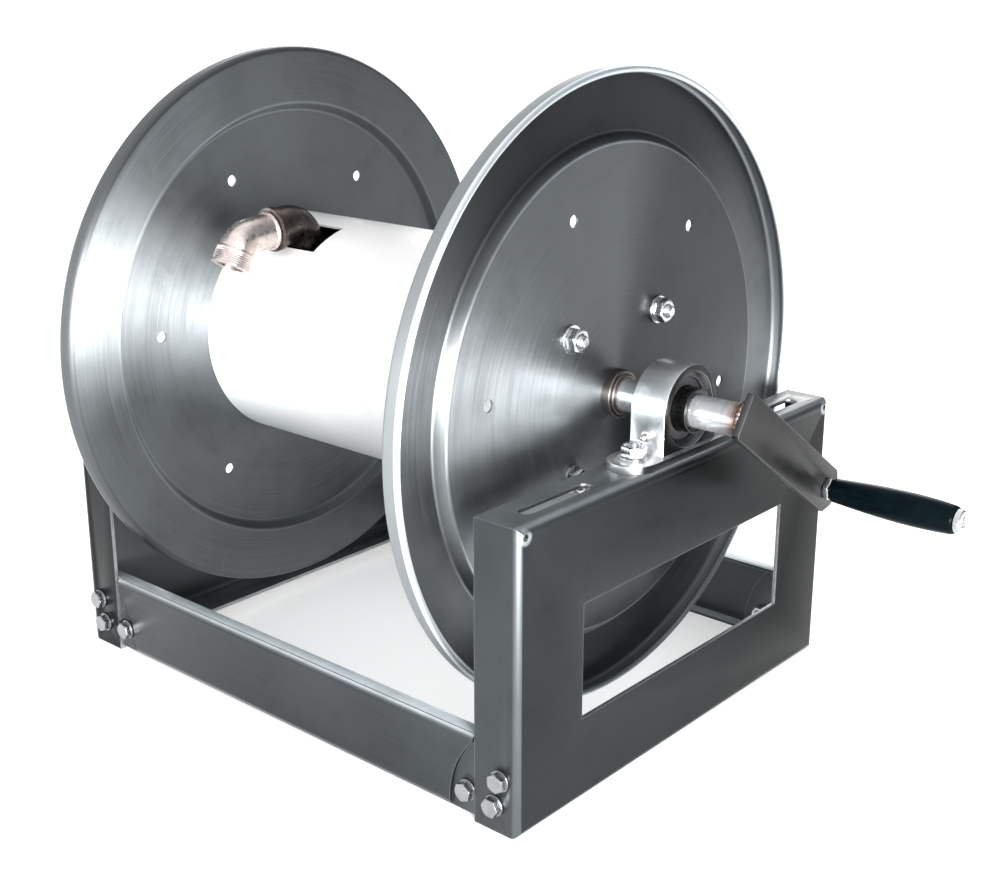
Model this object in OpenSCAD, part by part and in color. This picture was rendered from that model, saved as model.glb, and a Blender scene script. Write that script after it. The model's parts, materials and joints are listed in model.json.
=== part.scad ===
// Hand-crank fire hose reel: a folded sheet frame, two pillow-block bearings,
// a drum between two dished discs, an outlet pipe through the drum,
// a crank with a turning grip, and an inlet swivel on the far end of the axle.
// X runs along the axle towards the crank, Y is the depth, Z is up.
// The origin is the centre of the frame's footprint, on the floor.

/* [Frame] */
// Width of the frame over both end frames
frame_w = 501; // [480:1:540]
// Depth of the frame
frame_d = 406; // [396:1:440]
// Height of the end frames
frame_h = 231.5; // [222:0.5:260]
// Thickness of the folded sheet
sheet_t = 3; // [2.5:0.5:3]
// Width of the folded flanges
flange_w = 40; // [38:1:44]
// Outer radius of the folds
fold_r = 7; // [5:0.5:8]
// Depth-wise size of the end frame's window
window_w = 264; // [200:2:280]
// Height of the window's lower edge
window_z = 66.5; // [66:0.5:80]
// Height of the window
window_h = 89.5; // [70:0.5:95]

/* [Frame holes] */
// Distance between the floor holes across the depth
floor_hole_pitch = 330; // [280:2:340]
// Diameter of a floor hole
floor_hole_d = 11; // [9:0.5:13]
// Length of the hand slots beside the bearings
slot_len = 76; // [40:1:80]
// Width of those slots
slot_w = 12; // [8:0.5:14]
// Distance of a slot's centre from the axle
slot_y = 140; // [130:1:145]

/* [Rails] */
// Height of the rails' lower edge above the floor
rail_z = 3; // [3:0.5:8]
// Height of a rail
rail_h = 65; // [56:1:66]
// Depth of a rail's folded flanges
rail_flange = 13; // [12:1:24]

/* [Reel] */
// Radius of the discs
disc_r = 246; // [225:1:248]
// Place of the crank-side disc's outer ring along the axle
crank_disc_x = 168; // [150:1:175]
// Place of the swivel-side disc's outer ring along the axle
swivel_disc_x = -187; // [-190:1:-180]
// Radius of the drum
drum_r = 101; // [98:0.5:103]
// Distance of the disc holes from the axle
disc_hole_r = 150; // [130:1:170]
// Turn of the holes in the crank-side disc
crank_hole_turn = 51.5; // [0:0.5:60]
// Turn of the holes in the swivel-side disc
swivel_hole_turn = 55.7; // [0:0.1:60]
// Distance of the tie rods from the axle
tie_rod_r = 77.5; // [70:0.5:80]

/* [Axle] */
// Diameter of the axle
axle_d = 25.4; // [25:0.1:26]
// Height of the axle above the end frames
bearing_h = 35.1; // [34.5:0.1:38]

/* [Crank] */
// Distance from the axle to the grip's bolt
crank_r = 140; // [110:1:160]
// Angle of the crank at rest, up from level
crank_turn = -34.9; // [-180:0.1:180]
// Width of the crank arm
arm_w = 36; // [32:1:40]
// Length of the grip
grip_len = 102; // [80:1:120]
// Largest diameter of the grip
grip_d = 25.5; // [24:0.5:32]

/* [Outlet] */
// Place of the outlet pipe along the axle
outlet_x = -135; // [-140:1:-120]
// Direction in which the riser leaves the axle
riser_turn = 113; // [110:1:116]

/* [Hidden] */
$fn = 96;
axle_z = frame_h + bearing_h;
axle_r = axle_d / 2;
half_w = frame_w / 2;
half_d = frame_d / 2;
flange_mid = half_w - flange_w / 2;
relief_d = 5;
cut = 1;
tiny = 0.01;
thread_out = 3;

// Corner joints: places of the three bolts at each corner, along the axle and up
corner_clear = 9;
corner_bolt_xz = [[half_w - 16, 42], [half_w - 21, 21],
                  [half_w - flange_w - corner_clear, 21]];
corner_bolt_d = 8;
corner_hole_d = 8.6;
corner_af = 13;
corner_washer_t = 1.6;
corner_head_h = 5.3;
corner_nut_h = 6.5;
rail_end_x = half_w - fold_r;
crease_r = 78;
crease_z = 8;
crease_x = half_w + 14.1;

// Bearings
foot_len = 140;
foot_w = 38;
foot_t = 6;
housing_r = 34;
housing_w = 30;
insert_r = 29;
insert_w = 20;
race_r = 17;
race_in = 13;
race_out = 21;
running_gap = 0.05;
bearing_bolt_y = 50;
bearing_bolt_d = 10;
bearing_hole_d = 11;
bearing_af = 17;
bearing_washer_t = 2;
bearing_nut_h = 8.5;
bearing_head_h = 6.4;
nipple_z = 16;
nipple_seat = 6;
nipple_d = 6;
nipple_af = 7;
nipple_hex_h = 3;
nipple_tip_d = 5;
nipple_tip_h = 5;
screw_turns = [60, 180];
screw_d = 5;
screw_inset = 5;
screw_sunk = 0.5;

// Reel
disc_t = 2;
dish_in = 192;
dish_out = 198;
dish_h = 8;
lip_h = 14;
lip_bend = 5;
bead_r = 2.6;
lip_ease = 1.5;
dish_skew = 1;
hub_r = 19;
hub_flange_r = 34;
hub_flange_t = 5;
hub_len = 8;
crank_plate_x = crank_disc_x + dish_h;
swivel_plate_x = swivel_disc_x - dish_h;
drum_x0 = swivel_plate_x + disc_t;
drum_x1 = crank_plate_x - disc_t;
drum_t = 2;
disc_hole_d = 9.5;
tie_rod_d = 10;
tie_rod_turn = 47;
tie_af = 17;
tie_nut_h = 8;
tie_washer_t = 2;
tie_washer_r = 11;
tie_end = 4;

// Outlet: the riser's elbow, its level run and the turned-down mouth
elbow_r = 112;
run_turn = riser_turn + 73;
run_len = 63;
tip_turn = riser_turn + 127;
tip_len = 25;
pipe_r = 15;
pipe_bore_r = 11;
riser_r = 12;
riser_bore_r = 8;
fitting_r = 17;
band_r = 19;
band_w = 7;
mouth_r = 16.7;
mouth_len = 15;
hole_turn = riser_turn + 0.5;
hole_half = 19.5;
hole_len = 70;
riser_top = elbow_r - 20;
elbow_foot = elbow_r - 30;
elbow_mouth = 31;
elbow_swell = 0.8;
elbow_step = 0.5;
elbow_over = 7;
spout_root = 20;
spout_ease = 7;
pipe_reach = 200;
elbow_yz = polar(elbow_r, riser_turn);
bend_point = elbow_yz + polar(run_len, run_turn);

// Axle and crank
axle_end_x = 295;
stem_x = -264;
axle_bore_end = outlet_x + riser_bore_r;
arm_t = 6;
arm_back = 16;
arm_front = crank_r + 15;
arm_corner = 9;
arm_ease = 2;
weld_w = 5;
grip_yz = polar(crank_r, crank_turn);
grip_bolt_r = 5;
grip_nut_h = 5;
grip_af = 17;
grip_gap = 0.5;
grip_x = axle_end_x + arm_t + grip_nut_h + grip_gap;
grip_end_x = grip_x + grip_len;
grip_neck_r = 9.5;
grip_edge = 1.5;
grip_steps = 12;
grip_full = 0.65;
grip_taper = 1.6;
grip_head_gap = 0.5;
grip_head_r = 9;
grip_head_t = 5;

// Inlet swivel, from the axle's end outwards
swivel_play = 0.4;
stem_hex_w = 10;
stem_af = 32;
stem_r = 10;
stem_bore_r = 7;
stem_collar_r = 13;
stem_tail = 12;
gland_x = stem_x - stem_hex_w - 2;
gland_hex_w = 8;
gland_af = 38;
gland_r = 15;
gland_len = 12;
collar_x = gland_x - gland_hex_w - gland_len - swivel_play;
collar_w = 4;
collar_play = 0.5;
barrel_r = 21;
barrel_x = gland_x - gland_hex_w;
stem_end = collar_x - collar_w - stem_tail;
elbow_x = stem_end - 14;
seal_r = 1.2;
seal_seat = 2.5;
seal_start = 3.5;
seal_pitch = 5;
inlet_r = 15.4;
inlet_len = 20;
inlet_z = -48;
inlet_hex_r = 25;
inlet_hex_h = 24;
inlet_neck_r = 19.5;
inlet_neck_start = 22;

// ---- Helpers ----

// A point in the plane across the axle, at a distance and an angle
function polar(r, a) = [r * cos(a), r * sin(a)];

// Moves a drawing made flat in X and Y onto the plane across the axle
module on_axle(x = 0) {
    translate([x, 0, axle_z]) rotate([90, 0, 90]) children();
}

// A round bar along the axle's direction
module bar_x(r, x0, x1, yz = [0, 0]) {
    on_axle(x0) translate(concat(yz, 0)) cylinder(r = r, h = x1 - x0);
}

// A round bar in the plane across the axle, from a point, along an angle
module bar_yz(r, x, yz, turn, from, to) {
    on_axle(x) translate(concat(yz, 0)) rotate([0, 0, turn]) rotate([0, 90, 0])
        translate([0, 0, from]) cylinder(r = r, h = to - from);
}

// A flat rectangle with rounded corners, centred
module round_rect(w, h, r) {
    square([w - 2 * r, h], center = true);
    square([w, h - 2 * r], center = true);
    for (sx = [-1, 1], sy = [-1, 1])
        translate([sx * (w / 2 - r), sy * (h / 2 - r)]) circle(r = r);
}

// A block rounded on the edges that run along Y and along Z
module folded_block(x0, x1, d, z0, z1, r) {
    w = x1 - x0;
    h = z1 - z0;
    translate([(x0 + x1) / 2, 0, (z0 + z1) / 2]) intersection() {
        rotate([90, 0, 0]) linear_extrude(d, center = true) round_rect(w, h, r);
        linear_extrude(h, center = true) round_rect(w, d, r);
    }
}

// Shapes at both ends of the frame
module both_ends() {
    children();
    mirror([1, 0, 0]) children();
}

// Shapes at the front and at the rear
module front_and_rear() {
    children();
    mirror([0, 1, 0]) children();
}

// ---- Frame ----

// End frame: an open tray with its flanges folded inwards
module end_frame() {
    wide = 3 * flange_w;
    difference() {
        folded_block(half_w - wide, half_w, frame_d, 0, frame_h, fold_r);
        folded_block(half_w - wide - fold_r, half_w - sheet_t, frame_d - 2 * sheet_t,
                     sheet_t, frame_h - sheet_t, fold_r - sheet_t);
        translate([half_w - wide - cut, -frame_d, -cut])
            cube([wide - flange_w + cut, 2 * frame_d, frame_h + 2 * cut]);
        translate([half_w - flange_w / 2, -window_w / 2, window_z])
            cube([flange_w, window_w, window_h]);
        front_and_rear() end_frame_holes();
    }
}

module end_frame_holes() {
    // bearing foot
    translate([flange_mid, bearing_bolt_y, frame_h - flange_w / 2])
        cylinder(d = bearing_hole_d, h = flange_w);
    // hand slot
    translate([flange_mid, slot_y, frame_h - flange_w / 4]) linear_extrude(flange_w)
        round_rect(slot_w, slot_len, slot_w / 2 - tiny);
    // floor bolt
    translate([flange_mid, floor_hole_pitch / 2, -flange_w / 2])
        cylinder(d = floor_hole_d, h = flange_w);
    // relief where the folds meet
    translate([half_w - flange_w / 4, half_d - fold_r, frame_h - fold_r]) rotate([0, 90, 0])
        cylinder(d = relief_d, h = flange_w);
    // corner bolts through the side flange
    for (i = [0, 1]) corner_hole(corner_bolt_xz[i]);
}

module corner_hole(xz) {
    translate([xz[0], half_d + cut, xz[1]]) rotate([90, 0, 0])
        cylinder(d = corner_hole_d, h = 6 * sheet_t);
}

module crank_end_frame() {
    color("slategray") end_frame();
}

module swivel_end_frame() {
    color("slategray") mirror([1, 0, 0]) end_frame();
}

// Flat shape of a rail's raised middle; the ends step back behind curved creases
module rail_middle(step) {
    difference() {
        translate([0, rail_z + rail_h / 2])
            square([2 * (half_w - flange_w - 2), rail_h + 2 * cut], center = true);
        for (side = [-1, 1])
            translate([side * crease_x, crease_z]) circle(r = crease_r + step);
    }
}

module rail_slab(y0, y1) {
    translate([0, y1, 0]) rotate([90, 0, 0]) linear_extrude(y1 - y0) children();
}

// Rail at the rear; the front one mirrors it
module rail() {
    face = half_d;
    top = rail_z + rail_h;
    difference() {
        union() {
            translate([-rail_end_x, face - rail_flange, rail_z])
                cube([2 * rail_end_x, rail_flange - sheet_t, rail_h]);
            intersection() {
                rail_slab(face - sheet_t, face) rail_middle(0);
                rail_rounding(face, top);
            }
        }
        // hollow of the channel
        translate([-half_w, face - rail_flange - cut, rail_z + sheet_t])
            cube([frame_w, rail_flange + cut - 2 * sheet_t, rail_h - 2 * sheet_t]);
        intersection() {
            rail_slab(face - 2 * sheet_t - cut, face - sheet_t) rail_middle(sheet_t);
            translate([-half_w, face - 3 * sheet_t, rail_z + sheet_t])
                cube([frame_w, 3 * sheet_t, rail_h - 2 * sheet_t]);
        }
        both_ends() for (xz = corner_bolt_xz) corner_hole(xz);
    }
}

// Rounds the two long folds of a rail's face
module rail_rounding(face, top) {
    translate([0, face - rail_flange, (rail_z + top) / 2]) rotate([90, 0, 90])
        linear_extrude(frame_w, center = true)
            round_rect(2 * rail_flange, rail_h, fold_r - 1);
}

module front_rail() {
    color("slategray") mirror([0, 1, 0]) rail();
}

module rear_rail() {
    color("slategray") rail();
}

// Places something at each corner bolt, looking outwards from the bolt's seat.
// The third bolt of each corner seats on the rail, one sheet further in.
module at_corner_bolts() {
    both_ends() front_and_rear() for (i = [0:2])
        translate([corner_bolt_xz[i][0], half_d - (i == 2 ? sheet_t : 0), corner_bolt_xz[i][1]])
            rotate([-90, 0, 0]) corner_stack(i) children();
}

// Passes the depth of the clamped sheets on to the children
module corner_stack(i) {
    $grip = (i == 2 ? 1 : 2) * sheet_t;
    children();
}

module corner_bolts() {
    color("silver") at_corner_bolts() {
        translate([0, 0, corner_washer_t])
            cylinder(d = corner_af / cos(30), h = corner_head_h, $fn = 6);
        translate([0, 0, -$grip - corner_nut_h - thread_out])
            cylinder(d = corner_bolt_d, h = $grip + corner_nut_h + thread_out + corner_washer_t);
    }
}

module corner_washers() {
    color("lightgray") at_corner_bolts() difference() {
        cylinder(d = 2 * corner_bolt_d, h = corner_washer_t);
        translate([0, 0, -cut]) cylinder(d = corner_hole_d, h = 3 * cut + corner_washer_t);
    }
}

module corner_nuts() {
    color("silver") at_corner_bolts() translate([0, 0, -$grip - corner_nut_h]) difference() {
        cylinder(d = corner_af / cos(30), h = corner_nut_h, $fn = 6);
        translate([0, 0, -cut]) cylinder(d = corner_bolt_d, h = corner_nut_h + 2 * cut);
    }
}

// ---- Bearings ----

// Pillow block on the crank side, with a flat foot and an arched strap
module bearing_housing() {
    difference() {
        union() {
            translate([flange_mid, 0, frame_h]) linear_extrude(foot_t) {
                square([foot_w, foot_len - foot_w], center = true);
                for (s = [-1, 1]) translate([0, s * (foot_len - foot_w) / 2]) circle(d = foot_w);
            }
            bar_x(housing_r, flange_mid - housing_w / 2, flange_mid + housing_w / 2);
            translate([flange_mid - housing_w / 2, -housing_r, frame_h])
                cube([housing_w, 2 * housing_r, bearing_h]);
        }
        bar_x(insert_r, flange_mid - foot_w, flange_mid + foot_w);
        front_and_rear() translate([flange_mid, bearing_bolt_y, frame_h - cut])
            cylinder(d = bearing_hole_d, h = foot_t + 2 * cut);
        at_nipple() cylinder(d = nipple_d, h = housing_r);
    }
}

// Seat of the grease nipple, looking out of the front of the housing
module at_nipple() {
    translate([flange_mid, -housing_r + nipple_seat, axle_z - nipple_z]) rotate([90, 0, 0])
        children();
}

// Fixed outer part of the bearing
module bearing_insert() {
    difference() {
        bar_x(insert_r, flange_mid - insert_w / 2, flange_mid + insert_w / 2);
        bar_x(race_r + running_gap, flange_mid - foot_w, flange_mid + foot_w);
    }
}

// Part of the bearing that is locked to the axle
module bearing_race() {
    difference() {
        bar_x(race_r, flange_mid - race_in, flange_mid + race_out);
        bar_x(axle_r, flange_mid - foot_w, flange_mid + foot_w);
        at_set_screws() translate([0, 0, axle_r - cut]) cylinder(d = screw_d, h = race_r);
    }
}

module at_set_screws() {
    for (a = screw_turns) on_axle(flange_mid + race_out - screw_inset) rotate([0, 0, a])
        rotate([0, 90, 0]) children();
}

module crank_bearing_housing() {
    color("lightgray") bearing_housing();
}

module swivel_bearing_housing() {
    color("lightgray") mirror([1, 0, 0]) bearing_housing();
}

module crank_bearing_insert() {
    color("dimgray") bearing_insert();
}

module swivel_bearing_insert() {
    color("dimgray") mirror([1, 0, 0]) bearing_insert();
}

module crank_bearing_race() {
    color("darkslategray") bearing_race();
}

module swivel_bearing_race() {
    color("darkslategray") mirror([1, 0, 0]) bearing_race();
}

module race_set_screws() {
    color("black") both_ends() at_set_screws()
        translate([0, 0, axle_r]) cylinder(d = screw_d, h = race_r - axle_r - screw_sunk);
}

module grease_nipples() {
    color("gold") both_ends() at_nipple() {
        cylinder(d = nipple_d, h = nipple_seat);
        translate([0, 0, nipple_seat])
            cylinder(d = nipple_af / cos(30), h = nipple_hex_h, $fn = 6);
        translate([0, 0, nipple_seat + nipple_hex_h])
            cylinder(d = nipple_tip_d, h = nipple_tip_h);
    }
}

module at_bearing_bolts() {
    both_ends() front_and_rear() translate([flange_mid, bearing_bolt_y, frame_h]) children();
}

module bearing_bolts() {
    reach = foot_t + bearing_washer_t + bearing_nut_h + thread_out;
    color("silver") at_bearing_bolts() translate([0, 0, -sheet_t]) {
        translate([0, 0, -bearing_head_h])
            cylinder(d = bearing_af / cos(30), h = bearing_head_h, $fn = 6);
        cylinder(d = bearing_bolt_d, h = sheet_t + reach);
    }
}

module bearing_washers() {
    color("lightgray") at_bearing_bolts() translate([0, 0, foot_t]) difference() {
        cylinder(d = 2 * bearing_bolt_d, h = bearing_washer_t);
        translate([0, 0, -cut]) cylinder(d = bearing_hole_d, h = bearing_washer_t + 2 * cut);
    }
}

module bearing_nuts() {
    color("silver") at_bearing_bolts() translate([0, 0, foot_t + bearing_washer_t]) difference() {
        cylinder(d = bearing_af / cos(30), h = bearing_nut_h, $fn = 6);
        translate([0, 0, -cut]) cylinder(d = bearing_bolt_d, h = bearing_nut_h + 2 * cut);
    }
}

// ---- Reel ----

// Half section of a disc, as distance from the axle against place along it.
// The middle is raised towards the outside and the rim curls the same way.
module disc_section() {
    polygon([
        [hub_r, dish_h - disc_t], [dish_in - dish_skew, dish_h - disc_t],
        [dish_out - dish_skew, -disc_t], [disc_r - lip_bend, -disc_t],
        [disc_r - lip_ease, lip_ease - disc_t], [disc_r, lip_bend - disc_t],
        [disc_r, lip_h - bead_r], [disc_r - disc_t, lip_h - bead_r],
        [disc_r - disc_t, lip_bend - disc_t / 2], [disc_r - lip_bend, 0], [dish_out, 0],
        [dish_in, dish_h], [hub_r, dish_h]
    ]);
    translate([disc_r - bead_r, lip_h - bead_r]) circle(r = bead_r, $fn = 32);
}

// Disc with its outer ring's face at the plane of the drawing
module disc(hole_turn_0) {
    difference() {
        rotate_extrude($fn = 180) disc_section();
        for (i = [0:5]) rotate([0, 0, hole_turn_0 + 60 * i]) translate([disc_hole_r, 0, 0])
            cylinder(d = disc_hole_d, h = 2 * dish_h);
        for (i = [0:3]) rotate([0, 0, tie_rod_turn + 90 * i]) translate([tie_rod_r, 0, 0])
            cylinder(d = tie_rod_d, h = 2 * dish_h);
    }
}

module crank_side_disc() {
    color("lightslategray") on_axle(crank_disc_x) disc(crank_hole_turn);
}

module swivel_side_disc() {
    color("lightslategray") on_axle(swivel_disc_x) mirror([0, 0, 1]) disc(swivel_hole_turn);
}

module drum() {
    color("white") difference() {
        bar_x(drum_r, drum_x0, drum_x1);
        bar_x(drum_r - drum_t, drum_x0 - cut, drum_x1 + cut);
        on_axle(outlet_x) rotate([0, 0, hole_turn])
            translate([drum_r / 2, -hole_half, -hole_len / 2])
                cube([drum_r, 2 * hole_half, hole_len]);
    }
}

// Hub with its flange against the inside of the disc
module hub() {
    difference() {
        union() {
            translate([0, 0, -disc_t - hub_flange_t]) cylinder(r = hub_flange_r, h = hub_flange_t);
            translate([0, 0, -disc_t - hub_flange_t])
                cylinder(r = hub_r, h = hub_flange_t + disc_t + hub_len);
        }
        translate([0, 0, -disc_t - hub_flange_t - cut])
            cylinder(r = axle_r, h = hub_flange_t + disc_t + hub_len + 2 * cut);
    }
}

module crank_side_hub() {
    color("silver") on_axle(crank_plate_x) hub();
}

module swivel_side_hub() {
    color("silver") on_axle(swivel_plate_x) mirror([0, 0, 1]) hub();
}

module axle() {
    color("silver") difference() {
        bar_x(axle_r, stem_x, axle_end_x);
        bar_x(riser_bore_r, stem_x - cut, axle_bore_end);
        bar_yz(riser_bore_r, outlet_x, [0, 0], riser_turn, 0, 2 * axle_r);
    }
}

module at_tie_rods() {
    for (i = [0:3]) on_axle() rotate([0, 0, tie_rod_turn + 90 * i])
        translate([tie_rod_r, 0, 0]) children();
}

// Children sit against each disc's outer face, looking outwards
module at_tie_rod_ends() {
    at_tie_rods() {
        translate([0, 0, crank_plate_x]) children();
        translate([0, 0, swivel_plate_x]) mirror([0, 0, 1]) children();
    }
}

module tie_rods() {
    reach = tie_washer_t + tie_nut_h + tie_end;
    color("silver") at_tie_rods() translate([0, 0, swivel_plate_x - reach])
        cylinder(d = tie_rod_d, h = crank_plate_x - swivel_plate_x + 2 * reach);
}

module tie_rod_washers() {
    color("lightgray") at_tie_rod_ends() difference() {
        cylinder(r = tie_washer_r, h = tie_washer_t);
        translate([0, 0, -cut]) cylinder(d = tie_rod_d, h = tie_washer_t + 2 * cut);
    }
}

module tie_rod_nuts() {
    color("silver") at_tie_rod_ends() translate([0, 0, tie_washer_t]) difference() {
        cylinder(d = tie_af / cos(30), h = tie_nut_h, $fn = 6);
        translate([0, 0, -cut]) cylinder(d = tie_rod_d, h = tie_nut_h + 2 * cut);
    }
}

// ---- Outlet ----

module riser_pipe() {
    color("peru") difference() {
        bar_yz(riser_r, outlet_x, [0, 0], riser_turn, 0, riser_top);
        bar_yz(riser_bore_r, outlet_x, [0, 0], riser_turn, -cut, riser_top + cut);
        bar_x(axle_r, outlet_x - 2 * riser_r, outlet_x + 2 * riser_r);
    }
}

// Direction from one point to another in the plane across the axle, from 0 to 360
function heading(a, b) = (atan2(b[1] - a[1], b[0] - a[0]) + 360) % 360;

// Everything on one side of a plane that stands across the outlet pipe's own plane
module side_of(point, turn, forward) {
    translate(point) rotate([0, 0, turn]) translate([forward ? 0 : -pipe_reach, 0, 0])
        translate([0, -pipe_reach / 2, -pipe_reach / 2]) cube(pipe_reach);
}

// One straight leg of a rod between two corner points, its ends cut at the given turns
module rod_leg(a, b, r, start_turn, end_turn) {
    on_axle(outlet_x) intersection() {
        translate(a) rotate([0, 0, heading(a, b)]) rotate([0, 90, 0])
            translate([0, 0, -2 * r]) cylinder(r = r, h = norm(b - a) + 4 * r);
        side_of(a, start_turn, true);
        side_of(b, end_turn, false);
    }
}

// A rod along corner points, mitred where it turns
module mitred_rod(points, r) {
    last = len(points) - 2;
    turns = [for (i = [0:last]) heading(points[i], points[i + 1])];
    for (i = [0:last])
        rod_leg(points[i], points[i + 1], r,
                i == 0 ? turns[0] : (turns[i - 1] + turns[i]) / 2,
                i == last ? turns[last] : (turns[i] + turns[i + 1]) / 2);
}

// A corner replaced by two points, so that the rod turns in two mitres
function eased(corner, turn_in, turn_out, ease) =
    [corner - polar(ease, turn_in), corner + polar(ease, turn_out)];

// Cast elbow: two legs that meet in a round barrel, each with a band at its mouth
module outlet_elbow() {
    foot = polar(elbow_foot, riser_turn);
    leg = elbow_r - elbow_foot;
    barrel_half = fitting_r + elbow_swell;
    color("rosybrown") difference() {
        union() {
            bar_yz(fitting_r, outlet_x, foot, riser_turn, 0, leg);
            bar_yz(fitting_r, outlet_x, elbow_yz, run_turn, 0, elbow_mouth);
            bar_x(fitting_r + elbow_swell, outlet_x - barrel_half, outlet_x + barrel_half, elbow_yz);
            bar_yz(band_r, outlet_x, foot, riser_turn, 0, band_w);
            bar_yz(band_r, outlet_x, elbow_yz, run_turn, elbow_mouth - band_w, elbow_mouth);
        }
        bar_yz(riser_r, outlet_x, foot, riser_turn, -cut, leg + elbow_over);
        bar_yz(riser_r - elbow_step, outlet_x, elbow_yz, run_turn, 0, spout_root + cut);
        bar_yz(pipe_r, outlet_x, elbow_yz, run_turn, spout_root, elbow_mouth + cut);
    }
}

module outlet_spout() {
    root = elbow_yz + polar(spout_root, run_turn);
    tip = bend_point + polar(tip_len, tip_turn);
    bend = eased(bend_point, run_turn, tip_turn, spout_ease);
    color("rosybrown") difference() {
        union() {
            mitred_rod(concat([root], bend, [tip]), pipe_r);
            bar_yz(mouth_r, outlet_x, tip, tip_turn, -mouth_len, 0);
        }
        mitred_rod(concat([root - polar(cut, run_turn)], bend, [tip + polar(cut, tip_turn)]),
                   pipe_bore_r);
    }
}

// ---- Crank ----

module crank_arm() {
    color("slategray") on_axle(axle_end_x) rotate([0, 0, crank_turn]) difference() {
        linear_extrude(arm_t) polygon([
            [-arm_back, arm_ease - arm_w / 2], [arm_ease - arm_back, -arm_w / 2],
            [arm_front - arm_corner, -arm_w / 2], [arm_front, arm_corner - arm_w / 2],
            [arm_front, arm_w / 2 - arm_corner], [arm_front - arm_corner, arm_w / 2],
            [arm_ease - arm_back, arm_w / 2], [-arm_back, arm_w / 2 - arm_ease]
        ]);
        translate([crank_r, 0, -cut]) cylinder(r = grip_bolt_r, h = arm_t + 2 * cut);
    }
}

module crank_weld() {
    color("rosybrown") on_axle(axle_end_x - weld_w) rotate_extrude()
        polygon([[axle_r, 0], [axle_r + weld_w, weld_w], [axle_r, weld_w]]);
}

module grip_bolt() {
    head_x = grip_end_x + grip_head_gap;
    color("silver") {
        bar_x(grip_bolt_r, axle_end_x - grip_nut_h - thread_out, head_x, grip_yz);
        bar_x(grip_head_r, head_x, head_x + grip_head_t, grip_yz);
    }
}

module grip_nut(x) {
    on_axle(x) translate(concat(grip_yz, 0)) difference() {
        cylinder(d = grip_af / cos(30), h = grip_nut_h, $fn = 6);
        translate([0, 0, -cut]) cylinder(r = grip_bolt_r, h = grip_nut_h + 2 * cut);
    }
}

module grip_nuts() {
    color("silver") {
        grip_nut(axle_end_x - grip_nut_h);
        grip_nut(axle_end_x + arm_t);
    }
}

// Radius of the grip along its length, from 0 at the arm to 1 at the end:
// a slim neck, the fullest place past the middle and a slight taper after it
function grip_radius(t) =
    grip_neck_r + (grip_d / 2 - grip_neck_r) * sin(min(90, 90 * t / grip_full))
    - grip_taper * pow(max(0, t - grip_full) / (1 - grip_full), 2);

module grip() {
    run = (grip_len - 2 * grip_edge) / grip_steps;
    color("black") on_axle(grip_x) translate(concat(grip_yz, 0)) rotate_extrude()
        polygon(concat(
            [[grip_bolt_r + running_gap, 0], [grip_neck_r - grip_edge, 0]],
            [for (i = [0:grip_steps]) [grip_radius(i / grip_steps), grip_edge + i * run]],
            [[grip_radius(1) - grip_edge, grip_len], [grip_bolt_r + running_gap, grip_len]]
        ));
}

// ---- Inlet swivel ----

module swivel_stem() {
    color("goldenrod") difference() {
        union() {
            on_axle(stem_x - stem_hex_w)
                cylinder(d = stem_af / cos(30), h = stem_hex_w, $fn = 6);
            bar_x(stem_r, stem_end, stem_x);
            bar_x(stem_collar_r, collar_x - collar_w, collar_x);
        }
        bar_x(stem_bore_r, stem_end - cut, stem_x + cut);
    }
}

// Ring nut that keeps the stem's collar in the swivel body
module swivel_gland() {
    color("goldenrod") difference() {
        union() {
            on_axle(barrel_x) cylinder(d = gland_af / cos(30), h = gland_hex_w, $fn = 6);
            bar_x(gland_r, barrel_x - gland_len, barrel_x);
        }
        bar_x(stem_r + running_gap, barrel_x - gland_len - cut, gland_x + cut);
    }
}

module swivel_seals() {
    color("black") for (i = [0, 1])
        on_axle(collar_x - collar_w - seal_start - seal_pitch * i) rotate_extrude()
            translate([stem_r + seal_seat / 2 + running_gap, 0]) circle(r = seal_r, $fn = 24);
}

module swivel_body() {
    inlet_end = axle_z + inlet_z;
    color("goldenrod") difference() {
        union() {
            bar_x(barrel_r, elbow_x, barrel_x);
            on_axle(elbow_x) sphere(r = barrel_r);
            translate([elbow_x, 0, inlet_end + inlet_neck_start])
                cylinder(r = inlet_neck_r, h = -inlet_z - inlet_neck_start);
            translate([elbow_x, 0, inlet_end]) cylinder(r = inlet_hex_r, h = inlet_hex_h, $fn = 6);
        }
        // thread of the gland, room for the collar, seat of the seals
        bar_x(gland_r, barrel_x - gland_len, barrel_x + cut);
        bar_x(stem_collar_r + collar_play, collar_x - collar_w - swivel_play, barrel_x);
        bar_x(stem_r + seal_seat, stem_end, barrel_x);
        bar_x(stem_r - cut, elbow_x, barrel_x);
        on_axle(elbow_x) sphere(r = stem_r + cut);
        // inlet port
        translate([elbow_x, 0, inlet_end - cut]) cylinder(r = stem_r, h = cut - inlet_z);
        translate([elbow_x, 0, inlet_end - cut]) cylinder(r = inlet_r, h = inlet_len + cut);
    }
}

crank_end_frame();
swivel_end_frame();
front_rail();
rear_rail();
corner_bolts();
corner_washers();
corner_nuts();
crank_bearing_housing();
swivel_bearing_housing();
crank_bearing_insert();
swivel_bearing_insert();
crank_bearing_race();
swivel_bearing_race();
race_set_screws();
grease_nipples();
bearing_bolts();
bearing_washers();
bearing_nuts();
crank_side_disc();
swivel_side_disc();
drum();
crank_side_hub();
swivel_side_hub();
axle();
tie_rods();
tie_rod_washers();
tie_rod_nuts();
riser_pipe();
outlet_elbow();
outlet_spout();
crank_arm();
crank_weld();
grip_bolt();
grip_nuts();
grip();
swivel_stem();
swivel_gland();
swivel_seals();
swivel_body();
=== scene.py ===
import json
import math

import bmesh
import bpy
from mathutils import Matrix, Vector

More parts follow.
